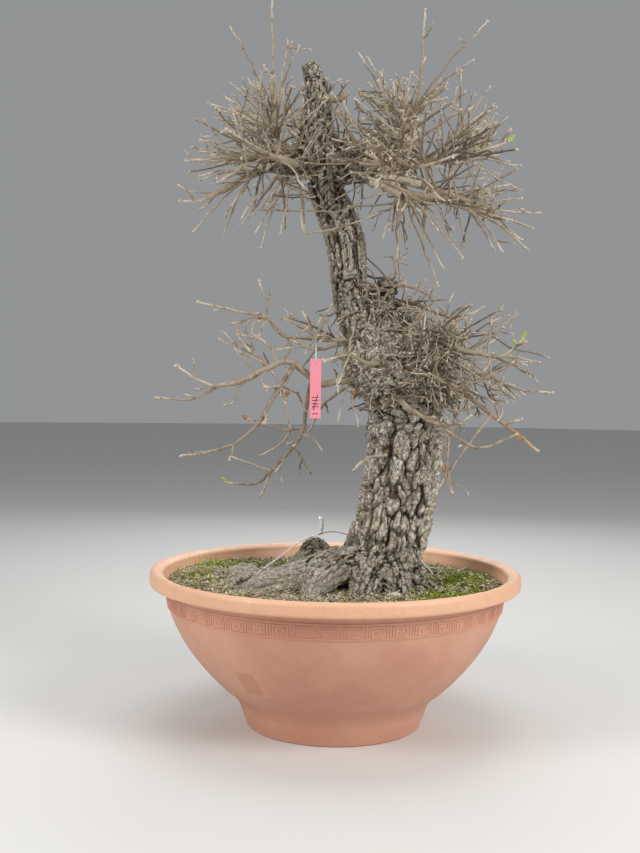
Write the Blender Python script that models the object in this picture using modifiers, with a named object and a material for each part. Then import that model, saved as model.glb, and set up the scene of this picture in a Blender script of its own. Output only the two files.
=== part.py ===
"""An old corky-barked tree in training as a bonsai, planted in a round plastic bowl pot.

Metres, +Z up. The origin is the centre of the pot's base; the tree's front faces -Y.
"""

import math

import bmesh
import bpy
from mathutils import Matrix, Vector

# --- driving dimensions: pot ---------------------------------------------------------------
RIM_RADIUS = 0.300
POT_HEIGHT = 0.253
WALL = 0.005
LIP_HEIGHT = 0.036
LIP_WIDTH = 0.023
LIP_OVERHANG = 0.030
BAND_HEIGHT = 0.0265
BAND_STEP = 0.0012
BAND_TAPER = 0.004
BOWL_BULGE = 0.0114
WAIST_RADIUS = 0.153
WAIST_HEIGHT = 0.036
WAIST_ROUND = 0.009
FOOT_RADIUS = 0.141
FOOT_RING_WIDTH = 0.020
BASE_RECESS = 0.006
BOSS_RADIUS = 0.030
FLOOR_THICKNESS = 0.005
DRAIN_COUNT = 6
DRAIN_RADIUS = 0.007
DRAIN_CIRCLE = 0.085
MESH_SQUARE = 0.030
MESH_THICKNESS = 0.001

# --- driving dimensions: planting ------------------------------------------------------------
SOIL_BELOW_RIM = 0.038
SOIL_MOUND = 0.012
TREE_HEIGHT = 0.970
TAG_WIDTH = 0.0195
TAG_HEIGHT = 0.0945
TAG_THICKNESS = 0.0008
TAG_HOLE_RADIUS = 0.0018
TAG_HOLE_EDGE = 0.006
TAG_DROP = 0.036
TAG_WIRE_RADIUS = 0.00045
TIE_WIRE_RADIUS = 0.0011
TIE_WIRE_BEND = 0.0045
PIGTAIL_RADIUS = 0.0021

# --- clearances and fineness -------------------------------------------------------------------
GAP = 0.0003
TURNED_STEPS = 48
SIDES_16, SIDES_8, SIDES_6, SIDES_4 = 6, 2, 1, 0

# --- derived levels ----------------------------------------------------------------------------
FLOOR_TOP = BASE_RECESS + FLOOR_THICKNESS
LIP_BOTTOM = POT_HEIGHT - LIP_HEIGHT
BAND_BOTTOM = LIP_BOTTOM - BAND_HEIGHT
BAND_TOP_RADIUS = RIM_RADIUS - LIP_OVERHANG
BOWL_TOP_RADIUS = BAND_TOP_RADIUS - BAND_TAPER - BAND_STEP
BOWL_FOOT_RADIUS = WAIST_RADIUS + WAIST_ROUND
BOWL_FOOT_HEIGHT = WAIST_HEIGHT + WAIST_ROUND
SOIL_EDGE = POT_HEIGHT - SOIL_BELOW_RIM
SOIL_TOP = SOIL_EDGE + SOIL_MOUND

# The tree is laid out from its front: x and z are where a point shows on the plane through the
# trunk from a viewer's eye, and the third number is how far behind (+) or before (-) that
# plane it lies.
VIEW_DISTANCE = 1.790
EYE_HEIGHT = 0.546
DRAWN_HEIGHT = 0.970
DRAWN_SOIL = 0.227

# (x, z, depth, radius) down the trunk, from the root ball to the cut leader
TRUNK = [
    (0.064, 0.175, 0.000, 0.074), (0.066, 0.215, 0.000, 0.075), (0.071, 0.250, 0.000, 0.067),
    (0.085, 0.300, 0.003, 0.065), (0.097, 0.350, 0.006, 0.063), (0.106, 0.400, 0.008, 0.062),
    (0.112, 0.450, 0.008, 0.062), (0.110, 0.500, 0.005, 0.062), (0.098, 0.550, 0.000, 0.060),
    (0.068, 0.600, -0.004, 0.052), (0.035, 0.645, -0.006, 0.038), (0.018, 0.700, -0.006, 0.031),
    (0.014, 0.750, -0.004, 0.032), (0.004, 0.800, 0.000, 0.033), (-0.018, 0.850, 0.004, 0.031),
    (-0.030, 0.900, 0.006, 0.031), (-0.037, 0.940, 0.004, 0.026), (-0.041, 0.980, 0.000, 0.018),
    (-0.041, 1.020, -0.003, 0.013), (-0.047, 1.050, -0.005, 0.012), (-0.056, 1.067, -0.006, 0.010),
]
# (x, z, depth, radius) of the swellings: the burl at the lower branches, a healed knob and the crown's
# branch collars
BURLS = [
    (0.104, 0.556, 0.004, 0.070), (0.128, 0.588, 0.004, 0.062), (0.080, 0.600, 0.008, 0.062),
    (0.062, 0.646, 0.012, 0.044), (0.054, 0.688, 0.012, 0.026), (0.078, 0.706, 0.014, 0.021),
    (0.010, 0.915, 0.004, 0.034), (-0.068, 0.910, -0.004, 0.028),
]
ROOTS = {
    "rear_left_knuckle": [(0.030, 0.280, 0.035, 0.026), (-0.006, 0.279, 0.046, 0.024),
                          (-0.030, 0.277, 0.052, 0.024), (-0.060, 0.245, 0.060, 0.020),
                          (-0.084, 0.215, 0.066, 0.016), (-0.100, 0.180, 0.070, 0.012)],
    "left": [(0.030, 0.270, -0.004, 0.034), (-0.012, 0.252, -0.010, 0.027),
             (-0.050, 0.240, -0.016, 0.022), (-0.095, 0.232, -0.022, 0.020),
             (-0.140, 0.226, -0.028, 0.022), (-0.168, 0.206, -0.030, 0.017),
             (-0.188, 0.176, -0.032, 0.011)],
    "front_left": [(0.030, 0.255, -0.045, 0.036), (-0.020, 0.230, -0.066, 0.028),
                   (-0.062, 0.212, -0.080, 0.023), (-0.107, 0.199, -0.090, 0.017),
                   (-0.150, 0.180, -0.100, 0.012)],
    "front": [(0.060, 0.240, -0.050, 0.034), (0.045, 0.210, -0.078, 0.024),
              (0.030, 0.168, -0.100, 0.015)],
    "right": [(0.100, 0.245, 0.010, 0.034), (0.135, 0.212, 0.020, 0.022),
              (0.165, 0.180, 0.028, 0.016)],
    "back": [(0.075, 0.255, 0.050, 0.034), (0.085, 0.236, 0.090, 0.024),
             (0.095, 0.215, 0.130, 0.017), (0.105, 0.190, 0.160, 0.012)],
}
LIMBS = {
    "jin": [(-0.045, 0.998, -0.002, 0.006), (-0.022, 1.008, -0.010, 0.0055),
            (0.000, 1.010, -0.014, 0.005), (0.013, 1.022, -0.016, 0.002)],
    "lower_left": [(0.070, 0.568, -0.035, 0.007), (0.003, 0.555, -0.030, 0.0058),
                   (-0.023, 0.550, -0.027, 0.0056), (-0.046, 0.563, -0.030, 0.0054),
                   (-0.077, 0.586, -0.040, 0.0050), (-0.113, 0.576, -0.050, 0.0046),
                   (-0.153, 0.555, -0.058, 0.0044), (-0.198, 0.545, -0.068, 0.0030),
                   (-0.224, 0.553, -0.074, 0.0020), (-0.262, 0.576, -0.080, 0.0016)],
    "lower_left_tip": [(-0.190, 0.547, -0.066, 0.0028), (-0.218, 0.531, -0.060, 0.0020),
                       (-0.245, 0.522, -0.054, 0.0018), (-0.296, 0.524, -0.046, 0.0016)],
    "left_middle": [(-0.072, 0.580, -0.040, 0.0046), (-0.093, 0.546, -0.052, 0.0040),
                    (-0.118, 0.502, -0.072, 0.0034), (-0.128, 0.485, -0.080, 0.0030),
                    (-0.169, 0.450, -0.098, 0.0022), (-0.216, 0.436, -0.112, 0.0018),
                    (-0.252, 0.431, -0.120, 0.0016)],
    "left_hanging": [(-0.040, 0.558, -0.029, 0.0048), (-0.049, 0.525, 0.000, 0.0044),
                     (-0.055, 0.478, 0.024, 0.0040), (-0.071, 0.447, 0.034, 0.0032),
                     (-0.107, 0.407, 0.052, 0.0028), (-0.115, 0.384, 0.058, 0.0020),
                     (-0.122, 0.369, 0.062, 0.0017)],
    "left_hanging_side": [(-0.055, 0.478, 0.024, 0.0030), (-0.092, 0.476, 0.040, 0.0022),
                          (-0.142, 0.491, 0.060, 0.0016)],
    "left_hanging_low": [(-0.107, 0.407, 0.052, 0.0026), (-0.132, 0.386, 0.070, 0.0022),
                         (-0.179, 0.387, 0.090, 0.0016)],
    "left_upper": [(0.045, 0.624, -0.020, 0.0048), (0.002, 0.622, -0.038, 0.0036),
                   (-0.036, 0.626, -0.045, 0.0030), (-0.089, 0.628, -0.052, 0.0026),
                   (-0.117, 0.658, -0.060, 0.0024), (-0.141, 0.662, -0.064, 0.0022),
                   (-0.228, 0.680, -0.080, 0.0016)],
    "left_back": [(0.050, 0.610, 0.020, 0.0070), (0.010, 0.618, 0.070, 0.0046),
                  (-0.035, 0.606, 0.120, 0.0030), (-0.080, 0.622, 0.165, 0.0018)],
    "left_back_low": [(0.060, 0.570, 0.040, 0.0070), (0.030, 0.556, 0.090, 0.0044),
                      (-0.020, 0.520, 0.145, 0.0028), (-0.045, 0.475, 0.185, 0.0017)],
    "front_low": [(0.075, 0.590, -0.040, 0.0070), (0.050, 0.584, -0.090, 0.0042),
                  (0.018, 0.598, -0.140, 0.0026), (-0.022, 0.588, -0.175, 0.0016)],
    "right_main": [(0.120, 0.600, -0.020, 0.0120), (0.165, 0.614, -0.030, 0.0075),
                   (0.200, 0.608, -0.040, 0.0048), (0.245, 0.600, -0.052, 0.0032),
                   (0.272, 0.602, -0.058, 0.0024), (0.297, 0.625, -0.064, 0.0016)],
    "right_long": [(0.140, 0.580, 0.010, 0.0100), (0.190, 0.582, 0.022, 0.0055),
                   (0.240, 0.568, 0.032, 0.0036), (0.295, 0.546, 0.040, 0.0024),
                   (0.347, 0.540, 0.046, 0.0020)],
    "right_front": [(0.150, 0.566, -0.030, 0.0080), (0.205, 0.540, -0.050, 0.0040),
                    (0.240, 0.512, -0.062, 0.0034), (0.290, 0.475, -0.074, 0.0030),
                    (0.325, 0.447, -0.082, 0.0022)],
    "right_low": [(0.080, 0.540, -0.050, 0.0050), (0.130, 0.505, -0.074, 0.0036),
                  (0.175, 0.480, -0.088, 0.0030), (0.215, 0.455, -0.096, 0.0026),
                  (0.240, 0.450, -0.100, 0.0020), (0.290, 0.472, -0.106, 0.0016)],
    "right_sweep": [(0.250, 0.504, -0.064, 0.0028), (0.215, 0.457, -0.080, 0.0024),
                    (0.180, 0.405, -0.090, 0.0020), (0.160, 0.375, -0.096, 0.0016)],
    "right_upper": [(0.070, 0.672, 0.010, 0.0080), (0.115, 0.684, 0.028, 0.0046),
                    (0.160, 0.668, 0.046, 0.0030), (0.200, 0.660, 0.060, 0.0024),
                    (0.233, 0.678, 0.070, 0.0016)],
    "right_back": [(0.130, 0.600, 0.040, 0.0090), (0.150, 0.622, 0.100, 0.0048),
                   (0.185, 0.640, 0.150, 0.0028), (0.205, 0.626, 0.195, 0.0017)],
    "right_back_low": [(0.130, 0.570, 0.050, 0.0080), (0.165, 0.548, 0.105, 0.0042),
                       (0.190, 0.506, 0.150, 0.0026), (0.186, 0.470, 0.180, 0.0017)],
    "crown_left": [(-0.030, 0.895, 0.000, 0.021), (-0.070, 0.908, -0.008, 0.018),
                   (-0.108, 0.905, -0.016, 0.013), (-0.140, 0.890, -0.022, 0.0080),
                   (-0.190, 0.862, -0.030, 0.0050), (-0.258, 0.843, -0.036, 0.0016)],
    "crown_left_leader": [(-0.100, 0.905, -0.014, 0.012), (-0.107, 0.950, -0.010, 0.0085),
                          (-0.109, 0.985, -0.006, 0.0065), (-0.110, 1.050, -0.002, 0.0022),
                          (-0.113, 1.120, 0.002, 0.0018), (-0.115, 1.190, 0.004, 0.0014)],
    "crown_left_back": [(-0.040, 0.900, 0.010, 0.018), (-0.060, 0.915, 0.060, 0.011),
                        (-0.080, 0.930, 0.105, 0.0070), (-0.110, 0.945, 0.150, 0.0030),
                        (-0.130, 0.965, 0.200, 0.0016)],
    "crown_left_front": [(-0.050, 0.900, -0.010, 0.016), (-0.075, 0.905, -0.060, 0.0095),
                         (-0.105, 0.915, -0.100, 0.0055), (-0.150, 0.935, -0.140, 0.0028),
                         (-0.185, 0.960, -0.175, 0.0016)],
    "crown_right": [(-0.020, 0.905, 0.000, 0.020), (0.030, 0.917, -0.012, 0.015),
                    (0.072, 0.924, -0.020, 0.012), (0.110, 0.915, -0.026, 0.0085),
                    (0.153, 0.912, -0.030, 0.0065), (0.200, 0.918, -0.032, 0.0035),
                    (0.268, 0.944, -0.034, 0.0016)],
    "crown_right_low": [(-0.005, 0.885, -0.008, 0.014), (0.055, 0.880, -0.040, 0.0070),
                        (0.100, 0.862, -0.056, 0.0060), (0.160, 0.850, -0.060, 0.0055),
                        (0.205, 0.836, -0.060, 0.0042), (0.262, 0.822, -0.056, 0.0026),
                        (0.310, 0.806, -0.052, 0.0016)],
    "crown_right_middle": [(0.030, 0.912, 0.010, 0.013), (0.090, 0.885, 0.030, 0.0080),
                           (0.150, 0.866, 0.044, 0.0065), (0.205, 0.850, 0.056, 0.0040),
                           (0.260, 0.834, 0.066, 0.0026), (0.322, 0.831, 0.074, 0.0016)],
    "crown_right_leader": [(0.068, 0.920, -0.018, 0.011), (0.100, 0.955, -0.010, 0.0080),
                           (0.112, 0.985, -0.004, 0.0055), (0.124, 1.020, 0.002, 0.0024),
                           (0.129, 1.085, 0.008, 0.0019), (0.132, 1.151, 0.012, 0.0015)],
    "crown_right_back": [(0.005, 0.910, 0.015, 0.016), (0.040, 0.918, 0.070, 0.010),
                         (0.075, 0.925, 0.120, 0.0065), (0.100, 0.940, 0.165, 0.0034),
                         (0.125, 0.960, 0.215, 0.0017)],
    "crown_right_front": [(0.010, 0.905, -0.015, 0.014), (0.055, 0.905, -0.075, 0.0080),
                          (0.095, 0.900, -0.120, 0.0048), (0.140, 0.905, -0.160, 0.0026),
                          (0.180, 0.920, -0.195, 0.0016)],
}
# (limb, which of its points, tips as (x, z, depth)): the longest shoots of each limb
SHOOTS = [
    ("crown_left_leader", 2, [(-0.180, 1.121, 0.060), (-0.070, 1.091, -0.055), (-0.088, 1.099, 0.080)]),
    ("crown_left_leader", 1, [(-0.179, 1.032, -0.080), (-0.213, 1.000, 0.030), (-0.150, 1.040, 0.120)]),
    ("crown_left", 2, [(-0.250, 0.908, 0.050), (-0.226, 0.941, -0.090)]),
    ("crown_left", 3, [(-0.237, 0.795, -0.070), (-0.188, 0.791, 0.060), (-0.226, 0.884, -0.110)]),
    ("crown_left", 1, [(-0.127, 0.772, 0.030), (-0.159, 0.818, -0.120), (-0.060, 0.803, -0.110)]),
    ("crown_left_back", 2, [(-0.190, 0.900, 0.170), (-0.095, 0.850, 0.180), (-0.060, 1.010, 0.170)]),
    ("crown_left_front", 2, [(-0.190, 0.880, -0.190), (-0.085, 0.985, -0.160), (-0.060, 0.870, -0.185)]),
    ("crown_right_leader", 1, [(0.027, 1.082, 0.050), (0.042, 1.075, -0.060), (0.082, 1.036, 0.110)]),
    ("crown_right_leader", 2, [(0.231, 1.133, 0.060), (0.210, 1.073, -0.050), (0.167, 1.012, -0.110)]),
    ("crown_right", 4, [(0.212, 1.000, 0.060), (0.225, 0.970, -0.110), (0.287, 0.906, -0.060)]),
    ("crown_right_low", 4, [(0.303, 0.773, -0.080), (0.249, 0.772, -0.020), (0.291, 0.853, -0.100)]),
    ("crown_right_low", 2, [(0.199, 0.759, -0.110), (0.160, 0.713, -0.040), (0.070, 0.790, -0.100)]),
    ("crown_right_middle", 3, [(0.272, 0.875, 0.130), (0.290, 0.790, 0.110)]),
    ("crown_right_middle", 1, [(0.100, 0.713, 0.070), (0.140, 0.795, 0.130)]),
    ("crown_right_back", 2, [(0.170, 0.900, 0.200), (0.060, 1.000, 0.190), (0.030, 0.860, 0.200)]),
    ("crown_right_front", 2, [(0.100, 0.990, -0.170), (0.165, 0.850, -0.190), (0.060, 0.880, -0.205)]),
    ("right_main", 3, [(0.324, 0.590, -0.070), (0.310, 0.569, -0.040), (0.248, 0.659, -0.020)]),
    ("right_main", 1, [(0.184, 0.697, -0.010), (0.200, 0.640, -0.110)]),
    ("right_long", 2, [(0.302, 0.538, 0.070), (0.262, 0.500, 0.010)]),
    ("right_low", 2, [(0.188, 0.379, -0.100), (0.205, 0.490, -0.120)]),
    ("right_upper", 1, [(0.137, 0.720, 0.030), (0.140, 0.635, 0.050)]),
    ("right_back", 2, [(0.160, 0.680, 0.190), (0.235, 0.600, 0.190)]),
    ("left_upper", 4, [(-0.112, 0.694, -0.058), (-0.172, 0.647, -0.075)]),
    ("lower_left", 5, [(-0.166, 0.604, -0.070), (-0.125, 0.606, 0.000)]),
    ("left_hanging", 3, [(-0.043, 0.405, 0.060), (-0.098, 0.409, 0.010)]),
    ("left_back", 2, [(-0.060, 0.570, 0.170), (-0.030, 0.655, 0.170)]),
    ("front_low", 2, [(0.025, 0.640, -0.180), (0.000, 0.550, -0.180)]),
]
SHOOT_ROOT_RADIUS, SHOOT_TIP_RADIUS, SHOOT_BOW = 0.0018, 0.0013, 0.06

# The tie wire's two legs (x, z, depth), from its twisted end to where each enters the soil
PIGTAIL = [(-0.024, 0.3050, 0.048), (-0.026, 0.318, 0.048), (-0.024, 0.332, 0.047)]
LEFT_LEG = [(-0.024, 0.3075, 0.048), (-0.051, 0.299, 0.054), (-0.072, 0.291, 0.060),
            (-0.094, 0.278, 0.064), (-0.117, 0.257, 0.066), (-0.140, 0.236, 0.068)]
RIGHT_LEG = [(-0.0255, 0.3130, 0.048), (-0.004, 0.3095, 0.058), (0.020, 0.305, 0.068),
             (0.060, 0.295, 0.077), (0.110, 0.284, 0.080), (0.150, 0.254, 0.074),
             (0.170, 0.225, 0.070)]

TAG_HANGS_FROM = ("left_upper", 2)

# name, bearing in degrees, share of the soil's radius, half-length, half-width, height
MOSS = [
    ("moss_right", 4, 0.74, 0.062, 0.050, 0.014), ("moss_back_right", 50, 0.72, 0.060, 0.044, 0.013),
    ("moss_back", 98, 0.78, 0.060, 0.036, 0.011), ("moss_back_left", 140, 0.72, 0.062, 0.044, 0.012),
    ("moss_left", 184, 0.78, 0.050, 0.042, 0.010), ("moss_front_left", 232, 0.80, 0.056, 0.036, 0.009),
    ("moss_front_right", 332, 0.84, 0.046, 0.032, 0.010),
]
PEBBLES = [
    ("pebble_right", 352, 0.93, 0.0090), ("pebble_front", 292, 0.72, 0.0060),
    ("pebble_left", 204, 0.90, 0.0065), ("pebble_back", 75, 0.92, 0.0080),
    ("pebble_front_left", 255, 0.62, 0.0050),
]
# name, limb whose tip bears it, direction, length, width, colour name
LEAVES = [
    ("leaf_right", "right_main", (0.4, -0.2, 0.9), 0.016, 0.008, "green leaf"),
    ("leaf_crown", "crown_right", (0.7, -0.2, 0.6), 0.015, 0.008, "green leaf"),
    ("leaf_left", "left_hanging_low", (-0.7, -0.1, 0.7), 0.014, 0.006, "green leaf"),
    ("leaf_dry_right", "right_low", (0.8, 0.1, -0.4), 0.018, 0.009, "dry leaf"),
    ("leaf_dry_left", "left_hanging_side", (-0.9, 0.1, 0.4), 0.016, 0.008, "dry leaf"),
]

COLOURS = {  # base colour, roughness, metallic
    "pot plastic": ((0.62, 0.30, 0.21), 0.45, 0.0), "soil": ((0.24, 0.20, 0.13), 0.95, 0.0),
    "bark": ((0.30, 0.25, 0.19), 0.90, 0.0), "moss": ((0.16, 0.22, 0.03), 0.95, 0.0),
    "galvanised wire": ((0.55, 0.57, 0.58), 0.35, 1.0), "pink plastic": ((0.95, 0.28, 0.38), 0.4, 0.0),
    "mesh plastic": ((0.02, 0.02, 0.02), 0.5, 0.0), "stone": ((0.55, 0.52, 0.47), 0.8, 0.0),
    "pale bark": ((0.62, 0.55, 0.45), 0.85, 0.0), "green leaf": ((0.30, 0.40, 0.05), 0.55, 0.0),
    "dry leaf": ((0.35, 0.18, 0.08), 0.7, 0.0),
}


def empty_scene():
    for item in list(bpy.data.objects):
        bpy.data.objects.remove(item)
    plant = bpy.data.collections.new("potted_bonsai")
    bpy.context.scene.collection.children.link(plant)
    return plant


COLLECTION = empty_scene()


def material(name):
    made = bpy.data.materials.get(name)
    if made is None:
        made = bpy.data.materials.new(name)
        made.use_nodes = True
        shader = made.node_tree.nodes["Principled BSDF"]
        colour, roughness, metallic = COLOURS[name]
        shader.inputs["Base Color"].default_value = (*colour, 1.0)
        shader.inputs["Roughness"].default_value = roughness
        shader.inputs["Metallic"].default_value = metallic
    return made


def add(name, mesh, finish=None):
    piece = bpy.data.objects.new(name, mesh)
    COLLECTION.objects.link(piece)
    if finish:
        mesh.materials.clear()
        mesh.materials.append(material(finish))
        mesh.shade_smooth()
        mesh.set_sharp_from_angle(angle=math.radians(35))
    return piece


def evaluated_mesh(piece):
    graph = bpy.context.evaluated_depsgraph_get()
    return bpy.data.meshes.new_from_object(piece.evaluated_get(graph))


def combine(piece, other, operation):
    """Unites piece with other, or cuts other out of it, and uses other up."""
    cutter = piece.modifiers.new("Shape", "BOOLEAN")
    cutter.object = other
    cutter.operation = operation
    cutter.solver = "EXACT"
    result = evaluated_mesh(piece)
    piece.modifiers.clear()
    piece.data = result
    bpy.data.objects.remove(other)


def merged(mesh):
    shape = bmesh.new()
    shape.from_mesh(mesh)
    bmesh.ops.remove_doubles(shape, verts=shape.verts, dist=1e-6)
    shape.to_mesh(mesh)
    shape.free()
    return mesh


def tube(name, points, radii, sides=SIDES_6, smooth=0):
    """A closed tube through points. smooth is the number of steps between them, 0 for straight runs."""
    curve = bpy.data.curves.new(name, "CURVE")
    curve.dimensions = "3D"
    curve.bevel_depth = 1.0
    curve.bevel_resolution = sides
    curve.use_fill_caps = True
    if smooth:
        curve.resolution_u = curve.render_resolution_u = smooth
        spline = curve.splines.new("BEZIER")
        spline.bezier_points.add(len(points) - 1)
        for knot, point, radius in zip(spline.bezier_points, points, radii):
            knot.co = point
            knot.radius = radius
            knot.handle_left_type = knot.handle_right_type = "AUTO"
    else:
        spline = curve.splines.new("POLY")
        spline.points.add(len(points) - 1)
        for knot, point, radius in zip(spline.points, points, radii):
            knot.co = (*point, 1.0)
            knot.radius = radius
    route = bpy.data.objects.new(name + "_route", curve)
    COLLECTION.objects.link(route)
    mesh = merged(evaluated_mesh(route))
    bpy.data.objects.remove(route)
    return add(name, mesh)


def turned(name, profile, finish=None):
    """A solid of revolution from (radius, height) points that go up the inside and down the outside."""
    shape = bmesh.new()
    rings = [shape.verts.new((radius, 0, height)) for radius, height in profile]
    for start, end in zip(rings, rings[1:]):
        shape.edges.new((start, end))
    mesh = bpy.data.meshes.new(name)
    shape.to_mesh(mesh)
    shape.free()
    piece = add(name, mesh)
    spin = piece.modifiers.new("Turn", "SCREW")
    spin.steps = spin.render_steps = TURNED_STEPS
    spin.use_merge_vertices = True
    spin.merge_threshold = 0.00001
    solid = evaluated_mesh(piece)
    bpy.data.objects.remove(piece)
    return add(name, solid, finish)


def arc(centre, radii, start, end, steps):
    """Points on an ellipse's arc, angles in degrees from +radius towards +height."""
    turn = [math.radians(start + (end - start) * step / steps) for step in range(steps + 1)]
    return [(centre[0] + radii[0] * math.cos(a), centre[1] + radii[1] * math.sin(a)) for a in turn]


def bowl_radius(height):
    """The bowl's outer radius: a straight cone between waist and band that bulges at half height."""
    share = (height - BOWL_FOOT_HEIGHT) / (BAND_BOTTOM - BOWL_FOOT_HEIGHT)
    cone = BOWL_FOOT_RADIUS + (BOWL_TOP_RADIUS - BOWL_FOOT_RADIUS) * share
    return cone + BOWL_BULGE * 4 * share * (1 - share)


def bowl_heights(steps=5):
    return [BAND_BOTTOM + (BOWL_FOOT_HEIGHT - BAND_BOTTOM) * step / steps for step in range(steps + 1)]


def inner_wall(gap=0.0):
    """The inside of the bowl from the floor's edge up to the lip, drawn in by gap."""
    inset = WALL + gap
    floor = FLOOR_TOP + gap
    wall = [(FOOT_RADIUS - inset, floor), (WAIST_RADIUS - inset, WAIST_HEIGHT)]
    wall += [(bowl_radius(height) - inset, height) for height in reversed(bowl_heights())]
    wall.append((BAND_TOP_RADIUS - BAND_STEP - inset, LIP_BOTTOM))
    return wall


def soil_radius():
    """The pot's inner radius at the level of the soil's edge."""
    wall = inner_wall()
    for low, high in zip(wall, wall[1:]):
        if low[1] <= SOIL_EDGE <= high[1]:
            share = (SOIL_EDGE - low[1]) / (high[1] - low[1])
            return low[0] + (high[0] - low[0]) * share
    low, high = wall[-1], (RIM_RADIUS - LIP_WIDTH, POT_HEIGHT)
    return low[0] + (high[0] - low[0]) * (SOIL_EDGE - low[1]) / (high[1] - low[1])


def soil_level(radius):
    return SOIL_EDGE + SOIL_MOUND * (1 - (radius / soil_radius()) ** 2)


def seen(x, z, depth):
    """Where a point of the tree's front drawing lies in space."""
    size = TREE_HEIGHT / DRAWN_HEIGHT
    spread = 1 + depth / VIEW_DISTANCE
    rise = EYE_HEIGHT + (z - EYE_HEIGHT) * spread - DRAWN_SOIL
    return Vector((x * spread * size, depth * size, SOIL_TOP + rise * size))


def drawn(points):
    """The places and radii of a list of (x, z, depth, radius)."""
    size = TREE_HEIGHT / DRAWN_HEIGHT
    return [seen(*point[:3]) for point in points], [point[3] * size for point in points]


def make_pot():
    lip_side = POT_HEIGHT - LIP_HEIGHT * 0.45
    lip_inner = RIM_RADIUS - LIP_WIDTH
    crest = RIM_RADIUS - LIP_WIDTH * 0.5
    profile = [(0, FLOOR_TOP)] + inner_wall()
    profile += [(lip_inner, POT_HEIGHT - LIP_WIDTH * 0.25)]
    profile += [(lip_inner + LIP_WIDTH * 0.25, POT_HEIGHT)]
    profile += arc((crest, lip_side), (RIM_RADIUS - crest, POT_HEIGHT - lip_side), 90, 0, 4)
    under = LIP_OVERHANG * 0.5
    profile += arc((RIM_RADIUS - under, lip_side), (under, lip_side - LIP_BOTTOM), 0, -90, 4)[1:]
    profile += [(BAND_TOP_RADIUS, LIP_BOTTOM), (BAND_TOP_RADIUS - BAND_TAPER, BAND_BOTTOM)]
    profile += [(bowl_radius(height), height) for height in bowl_heights()]
    profile += arc((BOWL_FOOT_RADIUS, WAIST_HEIGHT), (WAIST_ROUND, WAIST_ROUND), 90, 180, 3)[1:]
    foot_inner = FOOT_RADIUS - FOOT_RING_WIDTH
    profile += [(FOOT_RADIUS + 0.008, 0.018), (FOOT_RADIUS + 0.0015, 0.0015), (FOOT_RADIUS, 0)]
    profile += [(foot_inner, 0), (foot_inner - 0.001, BASE_RECESS)]
    profile += [(BOSS_RADIUS + 0.001, BASE_RECESS), (BOSS_RADIUS, 0), (0, 0)]
    pot = turned("pot", profile)
    for spot in drain_places():
        bpy.ops.mesh.primitive_cylinder_add(
            vertices=16, radius=DRAIN_RADIUS, depth=4 * FLOOR_TOP, location=(spot.x, spot.y, FLOOR_TOP)
        )
        combine(pot, bpy.context.object, "DIFFERENCE")
    finish(pot, "pot plastic")


def finish(piece, name):
    piece.data.materials.clear()
    piece.data.materials.append(material(name))
    piece.data.shade_smooth()
    piece.data.set_sharp_from_angle(angle=math.radians(35))


def drain_places():
    turn = 2 * math.pi / DRAIN_COUNT
    return [
        Vector((DRAIN_CIRCLE * math.cos(turn * (k + 0.5)), DRAIN_CIRCLE * math.sin(turn * (k + 0.5)), 0))
        for k in range(DRAIN_COUNT)
    ]


def block(name, sizes, centre):
    """A rectangular block with its place in its mesh."""
    shape = bmesh.new()
    bmesh.ops.create_cube(shape, size=1.0)
    bmesh.ops.scale(shape, vec=sizes, verts=shape.verts)
    bmesh.ops.translate(shape, vec=centre, verts=shape.verts)
    mesh = bpy.data.meshes.new(name)
    shape.to_mesh(mesh)
    shape.free()
    return add(name, mesh)


def lengthened(points, extra):
    """Points with both ends moved out along their run by extra."""
    first = points[0] + (points[0] - points[1]).normalized() * extra
    last = points[-1] + (points[-1] - points[-2]).normalized() * extra
    return [first, *points[1:-1], last]


def bole(grow=0.0):
    points, radii = drawn(TRUNK)
    return tube("trunk", lengthened(points, grow), [r + grow for r in radii], SIDES_16, smooth=2)


def root(name, grow=0.0):
    points, radii = drawn(ROOTS[name])
    return tube(name, lengthened(points, grow), [r + grow for r in radii], SIDES_8, smooth=2)


def swelling(x, z, depth, radius):
    size = TREE_HEIGHT / DRAWN_HEIGHT
    bpy.ops.mesh.primitive_uv_sphere_add(
        segments=14, ring_count=9, radius=radius * size, location=seen(x, z, depth)
    )
    return bpy.context.object


def shoot_routes():
    """Each shoot's four points, bowed a little upwards, from inside its limb to its tip."""
    routes = []
    for limb, knot, tips in SHOOTS:
        start = seen(*LIMBS[limb][knot][:3])
        for tip in tips:
            end = seen(*tip)
            lift = Vector((0, 0, SHOOT_BOW * (end - start).length))
            one, two = start.lerp(end, 0.35) + lift, start.lerp(end, 0.7) + lift * 0.8
            routes.append([start, one, two, end])
    return routes


def make_tree():
    size = TREE_HEIGHT / DRAWN_HEIGHT
    tree = bole()
    for burl in BURLS:
        combine(tree, swelling(*burl), "UNION")
    for name in ROOTS:
        combine(tree, root(name), "UNION")
    for name, points in LIMBS.items():
        thick = points[0][3] > 0.0075
        places, radii = drawn(points)
        limb = tube(name, places, radii, SIDES_6, smooth=2 if thick else 1)
        combine(tree, limb, "UNION")
    radii = [size * (SHOOT_ROOT_RADIUS + (SHOOT_TIP_RADIUS - SHOOT_ROOT_RADIUS) * k / 3) for k in range(4)]
    for route in shoot_routes():
        combine(tree, tube("shoot", route, radii, SIDES_4), "UNION")
    tree.name = "tree"
    finish(tree, "bark")


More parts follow.
